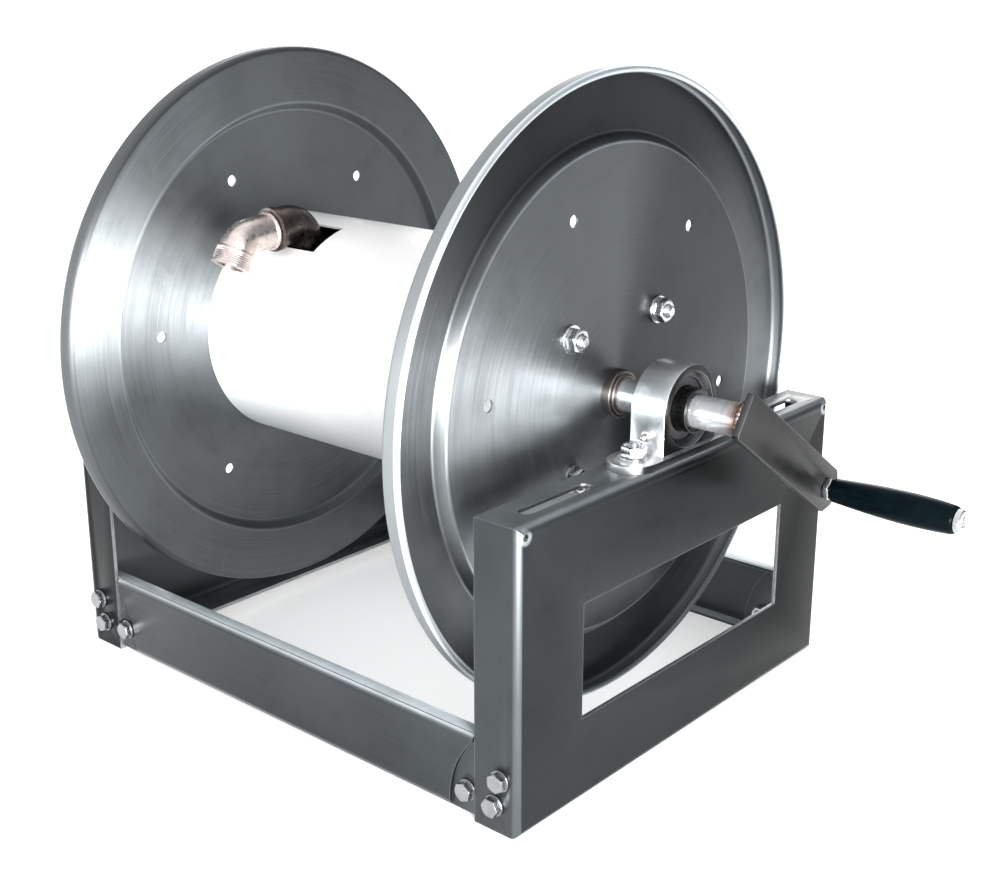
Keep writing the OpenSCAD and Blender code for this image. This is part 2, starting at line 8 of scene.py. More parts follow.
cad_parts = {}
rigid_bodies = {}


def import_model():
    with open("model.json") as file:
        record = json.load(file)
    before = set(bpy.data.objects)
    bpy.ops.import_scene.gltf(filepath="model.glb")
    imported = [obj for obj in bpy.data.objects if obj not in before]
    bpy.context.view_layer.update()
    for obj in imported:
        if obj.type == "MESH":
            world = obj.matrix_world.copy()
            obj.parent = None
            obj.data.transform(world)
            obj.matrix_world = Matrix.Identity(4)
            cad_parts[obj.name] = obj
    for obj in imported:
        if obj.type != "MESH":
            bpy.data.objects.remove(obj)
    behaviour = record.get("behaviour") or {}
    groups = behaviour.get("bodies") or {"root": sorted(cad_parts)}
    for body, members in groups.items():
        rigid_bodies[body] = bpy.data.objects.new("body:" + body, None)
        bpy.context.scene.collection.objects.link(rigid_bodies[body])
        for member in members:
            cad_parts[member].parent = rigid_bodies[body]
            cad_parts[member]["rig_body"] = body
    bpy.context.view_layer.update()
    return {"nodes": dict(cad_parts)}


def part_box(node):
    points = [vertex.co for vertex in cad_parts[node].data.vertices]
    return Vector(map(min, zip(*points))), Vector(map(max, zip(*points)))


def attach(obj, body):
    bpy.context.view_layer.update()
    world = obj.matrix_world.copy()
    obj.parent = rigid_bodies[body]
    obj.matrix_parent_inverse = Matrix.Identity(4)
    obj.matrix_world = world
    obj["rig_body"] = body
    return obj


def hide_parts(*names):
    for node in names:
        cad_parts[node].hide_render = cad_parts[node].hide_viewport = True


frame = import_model()

MM = 0.001
TURN = 2 * math.pi


# ---- Places, most of them taken from the imported nodes ----

def low(node):
    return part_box(node)[0]


def high(node):
    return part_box(node)[1]


def middle(node):
    return (low(node) + high(node)) / 2


AXLE_Z = middle("axle").z
AXLE_R = (high("axle").z - low("axle").z) / 2
DISC_R = (high("crank_side_disc").y - low("crank_side_disc").y) / 2
HALF_DEPTH = high("rear_rail").y
FRAME_CORNER = (high("crank_end_frame").x, HALF_DEPTH - 0.007, high("crank_end_frame").z - 0.007)
HALF_WIDTH = FRAME_CORNER[0]
CREASE = (0.2646, HALF_DEPTH, 0.008)
SHEET = 3 * MM
DISH_IN, DISH_OUT, DISH = 192, 198, 8


def frame_at(origin, along, up=None):
    """Placement whose Z axis points along a direction."""
    z = Vector(along).normalized()
    x = Vector(up) if up is not None else z.orthogonal()
    x = (x - z * x.dot(z)).normalized()
    y = z.cross(x)
    turned = Matrix((x, y, z)).transposed().to_4x4()
    return Matrix.Translation(origin) @ turned


def on_axle(x, y=0.0, z=0.0, out=1):
    """Placement across the axle: drawing X is world Y, drawing Y is up, Z is along the axle."""
    turned = Matrix(((0, 0, out), (1, 0, 0), (0, 1, 0))).to_4x4()
    return Matrix.Translation((x, y, AXLE_Z + z)) @ turned


# ---- Mesh building ----

class Build:
    """Collects rings of points and joins them into closed skins."""

    def __init__(self):
        self.verts = []
        self.faces = []

    def rings(self, rows, at=Matrix.Identity(4), loop=False, caps=(False, False)):
        count = len(rows[0])
        first = len(self.verts)
        for row in rows:
            self.verts.extend(tuple(at @ Vector(p)) for p in row)
        for i in range(len(rows) if loop else len(rows) - 1):
            a = first + i * count
            b = first + ((i + 1) % len(rows)) * count
            for j in range(count):
                k = (j + 1) % count
                self.faces.append((a + j, a + k, b + k, b + j))
        for wanted, row, start in ((caps[0], rows[0], first),
                                   (caps[1], rows[-1], first + (len(rows) - 1) * count)):
            if wanted:
                centre = sum((Vector(p) for p in row), Vector()) / count
                self.verts.append(tuple(at @ centre))
                tip = len(self.verts) - 1
                for j in range(count):
                    self.faces.append((start + j, start + (j + 1) % count, tip))
        return self

    def lathe(self, profile, at, steps=64, loop=True, caps=(False, False)):
        """Turns a profile of (along, radius) round the placement's Z axis."""
        rows = [[(r * math.cos(TURN * j / steps), r * math.sin(TURN * j / steps), a)
                 for j in range(steps)] for a, r in profile]
        return self.rings(rows, at, loop, caps)


def fillet(points, closed=True, step=math.radians(12)):
    """Rounds the corners of a profile; each point is (along, radius, corner radius)."""
    out = []
    count = len(points)
    for i, (a, r, f) in enumerate(points):
        if f == 0 or (not closed and i in (0, count - 1)):
            out.append((a, r))
            continue
        here = Vector((a, r))
        back = Vector(points[i - 1][:2]) - here
        fore = Vector(points[(i + 1) % count][:2]) - here
        half = back.angle(fore) / 2
        if abs(half - math.pi / 2) < 1e-4:
            out.append((a, r))
            continue
        reach = min(f / math.tan(half), 0.48 * back.length, 0.48 * fore.length)
        f = reach * math.tan(half)
        back.normalize()
        fore.normalize()
        centre = here + (back + fore).normalized() * f / math.sin(half)
        start = here + back * reach - centre
        end = here + fore * reach - centre
        turn = math.atan2(start.x * end.y - start.y * end.x, start.dot(end))
        steps = max(2, math.ceil(abs(turn) / step))
        for k in range(steps + 1):
            c, s = math.cos(turn * k / steps), math.sin(turn * k / steps)
            out.append((centre.x + start.x * c - start.y * s, centre.y + start.x * s + start.y * c))
    return out


def rod(build, at, r, z0, z1, steps=32):
    """A plain round bar."""
    build.lathe([(z0, r), (z1, r)], at, steps, False, (True, True))


def in_mm(points):
    return [tuple(v * MM for v in p) for p in points]


def bevel(ob, width, segments=2, angle=30):
    mod = ob.modifiers.new("soft_edges", "BEVEL")
    mod.width = width
    mod.segments = segments
    mod.limit_method = "ANGLE"
    mod.angle_limit = math.radians(angle)
    mod.harden_normals = False
    mod.use_clamp_overlap = True
    return ob


def settle(ob):
    """Applies the modifiers, so the mesh is final."""
    bpy.context.view_layer.update()
    graph = bpy.context.evaluated_depsgraph_get()
    final = bpy.data.meshes.new_from_object(ob.evaluated_get(graph))
    ob.modifiers.clear()
    old = ob.data
    ob.data = final
    bpy.data.meshes.remove(old)
    return ob


def link(name, mesh):
    ob = bpy.data.objects.new(name, mesh)
    bpy.context.scene.collection.objects.link(ob)
    return ob


def dress(ob, body, paint, nodes, sharp=34, second=None, chosen=None):
    """Shades, paints and attaches a finished piece; chosen faces take the second finish."""
    mesh = ob.data
    mesh.materials.clear()
    mesh.materials.append(paint)
    if second:
        mesh.materials.append(second)
    for poly in mesh.polygons:
        poly.material_index = 1 if second and chosen(poly) else 0
        poly.use_smooth = True
    mesh.set_sharp_from_angle(angle=math.radians(sharp))
    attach(ob, body)
    if nodes:
        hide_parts(*nodes)
    return ob


def mesh_of(name, build):
    mesh = bpy.data.meshes.new(name)
    mesh.from_pydata(build.verts, [], build.faces)
    bm = bmesh.new()
    bm.from_mesh(mesh)
    bmesh.ops.recalc_face_normals(bm, faces=bm.faces)
    bm.to_mesh(mesh)
    bm.free()
    return mesh


def cutter(build):
    return link("cutter", mesh_of("cutter", build))


def piece(name, build, body, paint, nodes=(), soft=0.0, cut=(), sharp=34):
    """Makes one piece of the model from rings, and stands it for its CAD nodes."""
    ob = link(name, mesh_of(name, build))
    for tool in cut:
        mod = ob.modifiers.new("cut", "BOOLEAN")
        mod.operation = "DIFFERENCE"
        mod.solver = "EXACT"
        mod.object = tool
    if soft:
        bevel(ob, soft)
    if cut or soft:
        settle(ob)
    for tool in cut:
        bpy.data.objects.remove(tool)
    return dress(ob, body, paint, nodes, sharp)


def refined(node, width, paint, segments=2, angle=30, second=None, chosen=None):
    """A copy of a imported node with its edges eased, standing for the node."""
    source = frame["nodes"][node]
    mesh = source.data.copy()
    bm = bmesh.new()
    bm.from_mesh(mesh)
    bmesh.ops.remove_doubles(bm, verts=bm.verts, dist=2e-6)
    bmesh.ops.dissolve_limit(bm, angle_limit=math.radians(0.6), verts=bm.verts, edges=bm.edges,
                             use_dissolve_boundaries=False)
    bmesh.ops.recalc_face_normals(bm, faces=bm.faces)
    bm.to_mesh(mesh)
    bm.free()
    mesh.name = node + "_fine"
    ob = link(node + "_fine", mesh)
    for name in [a.name for a in mesh.attributes if a.name == "custom_normal"]:
        mesh.attributes.remove(mesh.attributes[name])
    bevel(ob, width, segments, angle)
    settle(ob)
    return dress(ob, source["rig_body"], paint, [node], second=second, chosen=chosen)


def carried(node, paint):
    """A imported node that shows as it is, with its finish."""
    mesh = frame["nodes"][node].data
    mesh.materials.clear()
    mesh.materials.append(paint)
    for poly in mesh.polygons:
        poly.material_index = 0


# ---- Materials ----

def shade(colour, factor):
    """A colour made lighter or darker."""
    return tuple(min(1.0, factor * c) for c in colour)


class Paint:
    """A Principled material with a few helpers for its texture nodes."""

    def __init__(self, name, **sockets):
        self.mat = bpy.data.materials.new(name)
        self.mat.use_nodes = True
        self.tree = self.mat.node_tree
        self.bsdf = self.tree.nodes["Principled BSDF"]
        for socket, value in sockets.items():
            self.bsdf.inputs[socket.replace("_", " ")].default_value = value

    def node(self, kind, **props):
        node = self.tree.nodes.new(kind)
        for key, value in props.items():
            setattr(node, key, value)
        return node

    def link(self, out, socket):
        self.tree.links.new(out, socket)

    def place(self):
        return self.node("ShaderNodeTexCoord").outputs["Object"]

    def surface(self):
        return self.node("ShaderNodeNewGeometry").outputs["Normal"]

    def split(self, vector):
        """The three parts of a vector."""
        node = self.node("ShaderNodeSeparateXYZ")
        self.link(vector, node.inputs[0])
        return node.outputs

    def vector(self, operation, a, b=None):
        """One step of vector arithmetic; b is a socket or three fixed numbers."""
        node = self.node("ShaderNodeVectorMath", operation=operation)
        self.link(a, node.inputs[0])
        if isinstance(b, tuple):
            node.inputs[1].default_value = b
        elif b is not None:
            self.link(b, node.inputs[1])
        single = operation in ("DOT_PRODUCT", "DISTANCE", "LENGTH")
        return node.outputs["Value" if single else "Vector"]

    def scaled(self, scale, vector=None):
        mapping = self.node("ShaderNodeMapping")
        self.link(vector or self.place(), mapping.inputs["Vector"])
        mapping.inputs["Scale"].default_value = scale
        return mapping.outputs["Vector"]

    def noise(self, vector, scale, detail=3.0, rough=0.55):
        node = self.node("ShaderNodeTexNoise")
        self.link(vector, node.inputs["Vector"])
        node.inputs["Scale"].default_value = scale
        node.inputs["Detail"].default_value = detail
        node.inputs["Roughness"].default_value = rough
        return node.outputs["Fac"]

    def math(self, operation, a, b=0.0, clamp=False):
        node = self.node("ShaderNodeMath", operation=operation, use_clamp=clamp)
        for socket, value in zip(node.inputs, (a, b)):
            if isinstance(value, (int, float)):
                socket.default_value = value
            else:
                self.link(value, socket)
        return node.outputs["Value"]

    def range(self, value, a, b, c, d):
        node = self.node("ShaderNodeMapRange", interpolation_type="SMOOTHSTEP")
        self.link(value, node.inputs["Value"])
        for key, number in zip(("From Min", "From Max", "To Min", "To Max"), (a, b, c, d)):
            node.inputs[key].default_value = number
        return node.outputs["Result"]

    def ramp(self, value, stops):
        node = self.node("ShaderNodeValToRGB")
        ramp = node.color_ramp
        while len(ramp.elements) < len(stops):
            ramp.elements.new(0.5)
        for element, (place, colour) in zip(ramp.elements, stops):
            element.position = place
            element.color = (*colour, 1)
        self.link(value, node.inputs["Fac"])
        return node.outputs["Color"]

    def mix(self, fac, a, b, blend="MIX"):
        node = self.node("ShaderNodeMix", data_type="RGBA", blend_type=blend)
        for socket, value in zip((node.inputs[0], node.inputs[6], node.inputs[7]), (fac, a, b)):
            if isinstance(value, (int, float)):
                socket.default_value = value
            elif isinstance(value, tuple):
                socket.default_value = (*value, 1)
            else:
                self.link(value, socket)
        return node.outputs[2]

    def bump(self, height, strength, distance, under=None):
        node = self.node("ShaderNodeBump")
        node.inputs["Strength"].default_value = strength
        node.inputs["Distance"].default_value = distance
        self.link(height, node.inputs["Height"])
        if under is not None:
            self.link(under, node.inputs["Normal"])
        return node.outputs["Normal"]

    def colour(self, out):
        self.link(out, self.bsdf.inputs["Base Color"])

    def rough(self, out):
        self.link(out, self.bsdf.inputs["Roughness"])

    def normal(self, out):
        self.link(out, self.bsdf.inputs["Normal"])

    def edges(self, radius=0.0016):
        """1 along outer and inner edges, 0 on open faces."""
        soft = self.node("ShaderNodeBevel", samples=4)
        soft.inputs["Radius"].default_value = radius
        turned = self.vector("DOT_PRODUCT", soft.outputs["Normal"], self.surface())
        return self.range(turned, 0.99, 0.80, 0.0, 1.0)

    def facing(self, axis, start=0.35, full=0.95):
        """1 on faces that look along an axis; for the axle's direction, both ways."""
        out = self.split(self.surface())[axis]
        if axis == 0:
            out = self.math("ABSOLUTE", out)
        return self.range(out, start, full, 0.0, 1.0)

    def blend(self, fac, a, b):
        """a where fac is 0, b where it is 1."""
        step = self.math("MULTIPLY", fac, self.math("SUBTRACT", b, a))
        return self.math("ADD", a, step)

    def near(self, point, radius):
        """1 close to a point and its mirror images across the reel, 0 beyond a radius."""
        away = self.vector("DISTANCE", self.vector("ABSOLUTE", self.place()), point)
        return self.range(away, radius, radius * 0.6, 0.0, 1.0)

    def grey(self, value):
        """The same value in all three channels."""
        node = self.node("ShaderNodeCombineColor")
        for socket in node.inputs:
            self.link(value, socket)
        return node.outputs[0]

    def times(self, colour, factor):
        """A colour multiplied by a number or by a value."""
        by = (factor,) * 3 if isinstance(factor, (int, float)) else self.grey(factor)
        return self.mix(1.0, colour, by, "MULTIPLY")

    def folds(self):
        """1 on the rounded folds between the flat faces."""
        sizes = [self.math("ABSOLUTE", out) for out in self.split(self.surface())]
        most = self.math("MAXIMUM", self.math("MAXIMUM", sizes[0], sizes[1]), sizes[2])
        return self.range(most, 0.995, 0.90, 0.0, 0.8)

    def inward(self, x):
        """1 on faces turned to the middle of the reel."""
        out = self.math("MULTIPLY", self.math("SIGN", x), self.split(self.surface())[0])
        return self.range(out, -0.5, -0.9, 0.0, 1.0)

    def lobe(self, way, turn, start, full, factor):
        """A factor that grows towards one direction round the axle."""
        a = math.radians(turn)
        near = self.vector("DOT_PRODUCT", way, (0, math.cos(a), math.sin(a)))
        return self.range(near, math.cos(math.radians(start)), math.cos(math.radians(full)), 1.0, factor)

    def band(self, value, centre, half):
        """1 at a value, 0 beyond a half width of it."""
        away = self.math("ABSOLUTE", self.math("SUBTRACT", value, centre))
        return self.range(away, half, half * 0.3, 0.0, 1.0)

    def around(self):
        """Distance from the axle, and the direction across it."""
        flat = self.vector("MULTIPLY", self.vector("SUBTRACT", self.place(), (0, 0, AXLE_Z)), (0, 1, 1))
        return self.vector("LENGTH", flat), self.vector("NORMALIZE", flat)


def brushed_steel(name, tone, tint, grain, rough, top_light=0.0, plate=1.0, light_fade=(1, 1, 1, 1), inner=0.0,
                  glints=(), rub=4.5):
    """Satin sheet: long brush lines, handling marks, edges rubbed brighter, and a painted highlight on the
    folds.

    top_light is the strength of the painted light on top faces, plate the painted shade of the broad
    outer faces against the flanges, whose grain runs another way; light_fade is how painted light and shade
    run from the swivel end to the crank end and from front to rear, inner the painted shade of
    the faces turned to the reel. glints lists painted highlights: point, radius, factor.
    rub is how much brighter the edges are.
    """
    p = Paint(name, Metallic=1.0)
    lines = p.noise(p.scaled(grain), 1.0, 4.0, 0.7)
    cloud = p.noise(p.place(), 7.0, 4.0, 0.6)
    marks = p.noise(p.place(), 34.0, 5.0, 0.65)
    mid = shade(tint, tone)
    pale = shade(mid, 1.32)
    base = p.ramp(cloud, [(0.28, shade(mid, 0.72)), (0.5, mid), (0.72, pale)])
    base = p.mix(p.range(marks, 0.52, 0.70, 0.0, 0.35), base, shade(mid, 0.6))
    base = p.mix(p.range(lines, 0.30, 0.70, 0.0, 0.5), base, pale)
    # Painted shade: the broad faces across the axle are darkened by plate.
    across = p.facing(0, 0.5, 0.95)
    base = p.mix(across, base, p.times(base, plate))
    # Painted light and shade: the tone runs along the reel and from front to rear, by light_fade.
    x, y, _ = p.split(p.place())
    ends = p.range(x, -0.2, 0.2, light_fade[0], light_fade[1])
    depth = p.range(y, -0.2, 0.2, light_fade[2], light_fade[3])
    base = p.times(base, p.blend(across, ends, depth))
    # Painted highlight along the rounded folds.
    base = p.mix(p.folds(), base, shade(mid, 2.4))
    base = p.mix(p.math("MULTIPLY", p.edges(), 0.75), base, shade(mid, rub))
    # Painted highlights at the listed places, broken up by the handling marks.
    for point, radius, gain in glints:
        glint = p.math("MULTIPLY", p.near(point, radius), p.range(marks, 0.3, 0.55, 0.6, 1.0))
        base = p.mix(glint, base, shade(mid, gain))
    # Painted light on faces that look up: a pale tone. These faces, and the inner ones, lose most of their
    # metal sheen.
    if top_light:
        painted_faces = p.facing(2)
        # Painted shade: faces turned to the middle of the reel take the dark inner tone.
        back = p.inward(x) if inner else None
        if inner:
            base = p.mix(back, base, shade(tint, inner))
        top_tone = p.ramp(marks, [(0.35, shade(tint, 0.85 * top_light)), (0.65, shade(tint, 1.1 * top_light))])
        base = p.mix(painted_faces, base, top_tone)
        if inner:
            painted_faces = p.math("MAXIMUM", painted_faces, back)
        p.link(p.range(painted_faces, 0.0, 1.0, 1.0, 0.15), p.bsdf.inputs["Metallic"])
    p.colour(base)
    p.rough(p.math("ADD", p.range(cloud, 0.3, 0.7, rough - 0.05, rough + 0.05),
                   p.range(lines, 0.3, 0.7, -0.05, 0.05)))
    p.normal(p.bump(lines, 0.10, 0.0004, p.bump(marks, 0.05, 0.0008)))
    return p.mat


def spun_steel(name, node, tone, rough, aniso, rim_glint, ridge_glint, reflection_lobes):
    """Disc finished on the lathe: fine rings, with a tangent that runs round the axle.

    reflection_lobes are painted reflections and painted shade, each towards one direction round the axle:
    turn, outer and inner half width, factor, and whether they lie on the raised plate, on the outer ring or
    on both.
    The curled lip with its bead and both edges of the pressed step carry painted highlights, by the factors
    rim_glint and ridge_glint, and the middle of the step a little painted shade.
    """
    p = Paint(name, Metallic=1.0)
    p.bsdf.inputs["Anisotropic"].default_value = aniso
    p.bsdf.inputs["Anisotropic Rotation"].default_value = 0.25
    size, way = p.around()
    ring = p.node("ShaderNodeCombineXYZ")
    p.link(p.math("MULTIPLY", size, 620.0), ring.inputs[0])
    spread = p.vector("ADD", p.vector("MULTIPLY", way, (1.1, 1.1, 1.1)), ring.outputs[0])
    rings = p.noise(spread, 1.0, 3.0, 0.7)
    cloud = p.noise(p.place(), 5.0, 4.0, 0.62)
    marks = p.noise(p.place(), 26.0, 6.0, 0.66)
    tint = (0.93, 1.0, 1.04)
    mid = shade(tint, tone)
    dark = shade(mid, 0.72)
    pale = shade(mid, 1.3)
    base = p.ramp(cloud, [(0.3, dark), (0.5, mid), (0.7, pale)])
    base = p.mix(p.range(rings, 0.35, 0.65, 0.0, 0.45), base, pale)
    base = p.mix(p.range(marks, 0.50, 0.72, 0.0, 0.4), base, dark)
    # Painted reflections and painted shade: each lobe makes the disc lighter or darker towards one
    # direction round the axle.
    factor = 1.0
    outside = p.range(size, (DISH_IN - 2) * MM, (DISH_OUT + 1) * MM, 0.0, 1.0)
    zones = {"plate": p.math("SUBTRACT", 1.0, outside), "ring": outside, "both": 1.0}
    for turn, start, full, gain, zone in reflection_lobes:
        more = p.math("SUBTRACT", p.lobe(way, turn, start, full, gain), 1.0)
        more = p.math("MULTIPLY", more, zones[zone])
        factor = p.math("MULTIPLY", p.math("ADD", more, 1.0), factor)
    base = p.times(base, factor)
    # Painted highlights on both edges of the pressed step, and a little painted shade in its middle.
    bright = p.times(base, ridge_glint)
    ridges = p.math("MAXIMUM", p.band(size, (DISH_IN - 0.8) * MM, 1.4 * MM),
                    p.band(size, (DISH_OUT + 0.4) * MM, 1.4 * MM))
    step = p.band(size, ((DISH_IN + DISH_OUT) / 2 - 0.2) * MM, 3 * MM)
    base = p.mix(step, base, p.times(base, 0.92))
    base = p.mix(ridges, base, bright)
    # Painted highlight on the curled lip and its rolled bead, set by rim_glint.
    along = p.math("ABSOLUTE", p.split(p.place())[0])
    edge = max(abs(low(node).x), abs(high(node).x))
    lip = p.range(size, DISC_R - 5.5 * MM, DISC_R - 3.5 * MM, 0.0, 1.0)
    base = p.mix(lip, base, shade(tint, 0.35 * rim_glint * tone))
    bead = p.math("MULTIPLY", lip, p.range(along, edge - 3.4 * MM, edge - 2.4 * MM, 0.0, 1.0))
    base = p.mix(bead, base, shade(tint, rim_glint * tone))
    p.colour(base)
    p.rough(p.math("ADD", p.range(cloud, 0.3, 0.7, rough - 0.04, rough + 0.05),
                   p.range(rings, 0.3, 0.7, -0.04, 0.04)))
    p.normal(p.bump(rings, 0.08, 0.0003, p.bump(marks, 0.04, 0.001)))
    tangent = p.node("ShaderNodeTangent", direction_type="RADIAL", axis="X")
    p.link(tangent.outputs[0], p.bsdf.inputs["Tangent"])
    return p.mat


def bright_steel(name, tone=0.62, rough=0.22, tint=(1.0, 1.02, 1.04), side_shade=1.0, grain=1.0):
    """Machined or plated steel; side_shade is the painted shade on the faces across the axle."""
    p = Paint(name, Metallic=1.0)
    fine = p.noise(p.place(), 420.0, 4.0, 0.6)
    cloud = p.noise(p.place(), 60.0, 3.0, 0.6)
    mid = shade(tint, tone)
    base = p.ramp(cloud, [(0.3, shade(mid, 0.80)), (0.55, mid), (0.75, shade(mid, 1.12))])
    base = p.mix(p.range(fine, 0.58, 0.75, 0.0, 0.22 * grain), base, shade(mid, 0.5))
    if side_shade < 1.0:
        # Painted shade: the faces across the axle are darkened by side_shade.
        base = p.mix(p.facing(0, 0.6, 0.9), base, p.times(base, side_shade))
    p.colour(base)
    p.rough(p.range(fine, 0.3, 0.7, rough - 0.05 * grain, rough + 0.09 * grain))
    p.normal(p.bump(fine, 0.06 * grain, 0.0003))
    return p.mat


def turned_steel(name):
    """Ground axle: bright, with fine turning rings, browned by the heat of the crank's weld."""
    p = Paint(name, Metallic=0.80)
    along = p.split(p.place())[0]
    rings = p.noise(p.scaled((1500.0, 12.0, 12.0)), 1.0, 3.0, 0.6)
    cloud = p.noise(p.place(), 45.0, 4.0, 0.6)
    base = p.ramp(cloud, [(0.3, (0.68, 0.70, 0.70)), (0.6, (0.92, 0.94, 0.94))])
    end = high("axle").x
    drift = p.math("ADD", along, p.math("MULTIPLY", p.math("SUBTRACT", cloud, 0.5), 0.008))
    heat = p.range(drift, end - 0.014, end - 0.002, 0.0, 1.0)
    tinted = p.ramp(heat, [(0.0, (0.82, 0.74, 0.70)), (0.5, (0.66, 0.47, 0.42)),
                           (1.0, (0.40, 0.26, 0.23))])
    base = p.mix(p.range(drift, end - 0.016, end - 0.010, 0.0, 1.0), base, tinted)
    p.colour(base)
    p.rough(p.range(rings, 0.3, 0.7, 0.13, 0.27))
    p.normal(p.bump(rings, 0.08, 0.0002))
    return p.mat


def tinted_steel(name, tones, grime):
    """Welded outlet pipe, blushed brown and straw by heat."""
    p = Paint(name, Metallic=1.0)
    cloud = p.noise(p.place(), 38.0, 5.0, 0.62)
    fine = p.noise(p.place(), 260.0, 4.0, 0.65)
    base = p.ramp(cloud, list(zip((0.28, 0.45, 0.60, 0.76), tones)))
    base = p.mix(p.range(fine, 0.54, 0.70, 0.0, grime), base, (0.10, 0.075, 0.065))
    p.colour(base)
    p.rough(p.range(fine, 0.3, 0.7, 0.24, 0.40))
    p.normal(p.bump(fine, 0.12, 0.0005))
    return p.mat


def weld_bead(name):
    p = Paint(name, Metallic=1.0)
    cloud = p.noise(p.place(), 180.0, 4.0, 0.6)
    p.colour(p.ramp(cloud, [(0.3, (0.12, 0.09, 0.08)), (0.5, (0.34, 0.26, 0.18)),
                            (0.7, (0.30, 0.30, 0.36))]))
    p.rough(p.range(cloud, 0.3, 0.7, 0.28, 0.46))
    p.normal(p.bump(cloud, 0.15, 0.0004))
    return p.mat


def white_paint(name):
    """Satin white coat with a faint orange peel, uneven tone and scuffs; painted lighter on top and darker
    underneath.
    """
    p = Paint(name, Metallic=0.0)
    p.bsdf.inputs["Coat Weight"].default_value = 0.25
    p.bsdf.inputs["Coat Roughness"].default_value = 0.25
    peel = p.noise(p.place(), 620.0, 2.0, 0.5)
    cloud = p.noise(p.place(), 12.0, 4.0, 0.6)
    scuff = p.noise(p.scaled((18.0, 140.0, 140.0)), 1.0, 4.0, 0.7)
    base = p.ramp(cloud, [(0.3, (0.74, 0.75, 0.75)), (0.55, (0.82, 0.83, 0.83))])
    # Painted light: faces that look up are lighter.
    base = p.mix(p.facing(2, 0.2, 0.9), base, (0.95, 0.95, 0.94))
    upward = p.split(p.surface())[2]
    # Painted shade: faces that look down are darker.
    base = p.mix(p.range(upward, -0.2, -0.8, 0.0, 1.0), base, (0.44, 0.46, 0.47))
    base = p.mix(p.range(scuff, 0.62, 0.76, 0.0, 0.30), base, (0.60, 0.60, 0.58))
    p.colour(base)
    p.rough(p.range(scuff, 0.4, 0.75, 0.36, 0.52))
    p.normal(p.bump(peel, 0.05, 0.0004))
    return p.mat


def black_plastic(name):
    """Moulded grip: deep gloss with light handling wear."""
    p = Paint(name, Metallic=0.0)
    p.bsdf.inputs["Specular IOR Level"].default_value = 0.05
    cloud = p.noise(p.place(), 70.0, 4.0, 0.6)
    fine = p.noise(p.scaled((90.0, 500.0, 500.0)), 1.0, 4.0, 0.65)
    base = p.ramp(cloud, [(0.3, (0.0006, 0.0025, 0.0035)), (0.7, (0.0012, 0.005, 0.007))])
    base = p.mix(p.range(fine, 0.66, 0.80, 0.0, 0.12), base, (0.015, 0.024, 0.027))
    p.colour(base)
    p.rough(p.range(fine, 0.35, 0.75, 0.20, 0.38))
    p.normal(p.bump(cloud, 0.04, 0.0005))
    return p.mat


def rubber(name):
    p = Paint(name, Metallic=0.0)
    fine = p.noise(p.place(), 500.0, 4.0, 0.6)
    p.colour(p.ramp(fine, [(0.3, (0.006, 0.006, 0.007)), (0.7, (0.016, 0.016, 0.017))]))
    p.rough(p.range(fine, 0.3, 0.7, 0.45, 0.65))
    p.normal(p.bump(fine, 0.2, 0.0003))
    return p.mat


def brass(name):
    p = Paint(name, Metallic=1.0)
    cloud = p.noise(p.place(), 55.0, 4.0, 0.6)
    fine = p.noise(p.place(), 480.0, 4.0, 0.6)
    base = p.ramp(cloud, [(0.3, (0.36, 0.23, 0.09)), (0.6, (0.62, 0.44, 0.17))])
    base = p.mix(p.range(fine, 0.56, 0.72, 0.0, 0.35), base, (0.20, 0.13, 0.06))
    p.colour(base)
    p.rough(p.range(fine, 0.3, 0.7, 0.24, 0.42))
    p.normal(p.bump(fine, 0.10, 0.0004))
    return p.mat


SHEET_TINT = (0.90, 1.0, 1.05)
# Frames and rails carry painted light and shade: lighter tops, darker broad plates and inner faces, tone
# running along and across the reel, and painted highlights at a frame corner and the rails' crease.
FRAME_SHEET = brushed_steel("frame_sheet", 0.065, SHEET_TINT, (900.0, 7.0, 900.0), 0.34, 0.10, 0.46,
                            (0.26, 1.0, 1.15, 0.30), 0.035, [(FRAME_CORNER, 7 * MM, 8.0)])
RAIL_SHEET = brushed_steel("rail_sheet", 0.060, SHEET_TINT, (7.0, 900.0, 900.0), 0.34, 0.46, 1.0,
                           (0.8, 1.0, 1.0, 1.0), 0.0, [(CREASE, 84 * MM, 2.0)])
CUT_EDGE = bright_steel("cut_edge", 0.42, 0.42)
ARM_SHEET = brushed_steel("arm_sheet", 0.055, (0.98, 1.0, 0.98), (900.0, 60.0, 60.0), 0.40, rub=2.0)
# Each disc's lobes are painted reflections and painted shade. rim_glint and ridge_glint, the two factors
# before them, are painted highlights.
CRANK_DISC = spun_steel("crank_disc_sheet", "crank_side_disc", 0.12, 0.42, 0.8, 7.5, 2.2,
                        [(30, 65, 10, 0.54, "plate"), (-140, 100, 20, 2.3, "plate"),
                         (108, 40, 10, 1.35, "plate"), (92, 70, 20, 0.32, "ring"),
                         (-80, 90, 20, 1.7, "ring")])
SWIVEL_DISC = spun_steel("swivel_disc_sheet", "swivel_side_disc", 0.175, 0.44, 0.8, 2.2, 1.35,
                         [(150, 48, 14, 1.35, "plate"), (150, 46, 14, 1.95, "ring"),
                          (45, 60, 10, 0.68, "both")])
BRIGHT = bright_steel("fasteners", 0.66, 0.20)
WORN = bright_steel("worn_fasteners", 0.34, 0.30, grain=1.6)
# The housings' faces across the axle are painted almost black, a painted shade.
PLATED = bright_steel("plated_housing", 0.92, 0.30, side_shade=0.03, grain=0.35)
NICKEL = bright_steel("nickel", 0.62, 0.24, (1.04, 1.0, 0.93))
HUB_STEEL = bright_steel("hub_steel", 0.16, 0.34, (1.08, 0.98, 0.94))
RACE = bright_steel("race_steel", 0.06, 0.28)
TURNED = turned_steel("axle_steel")
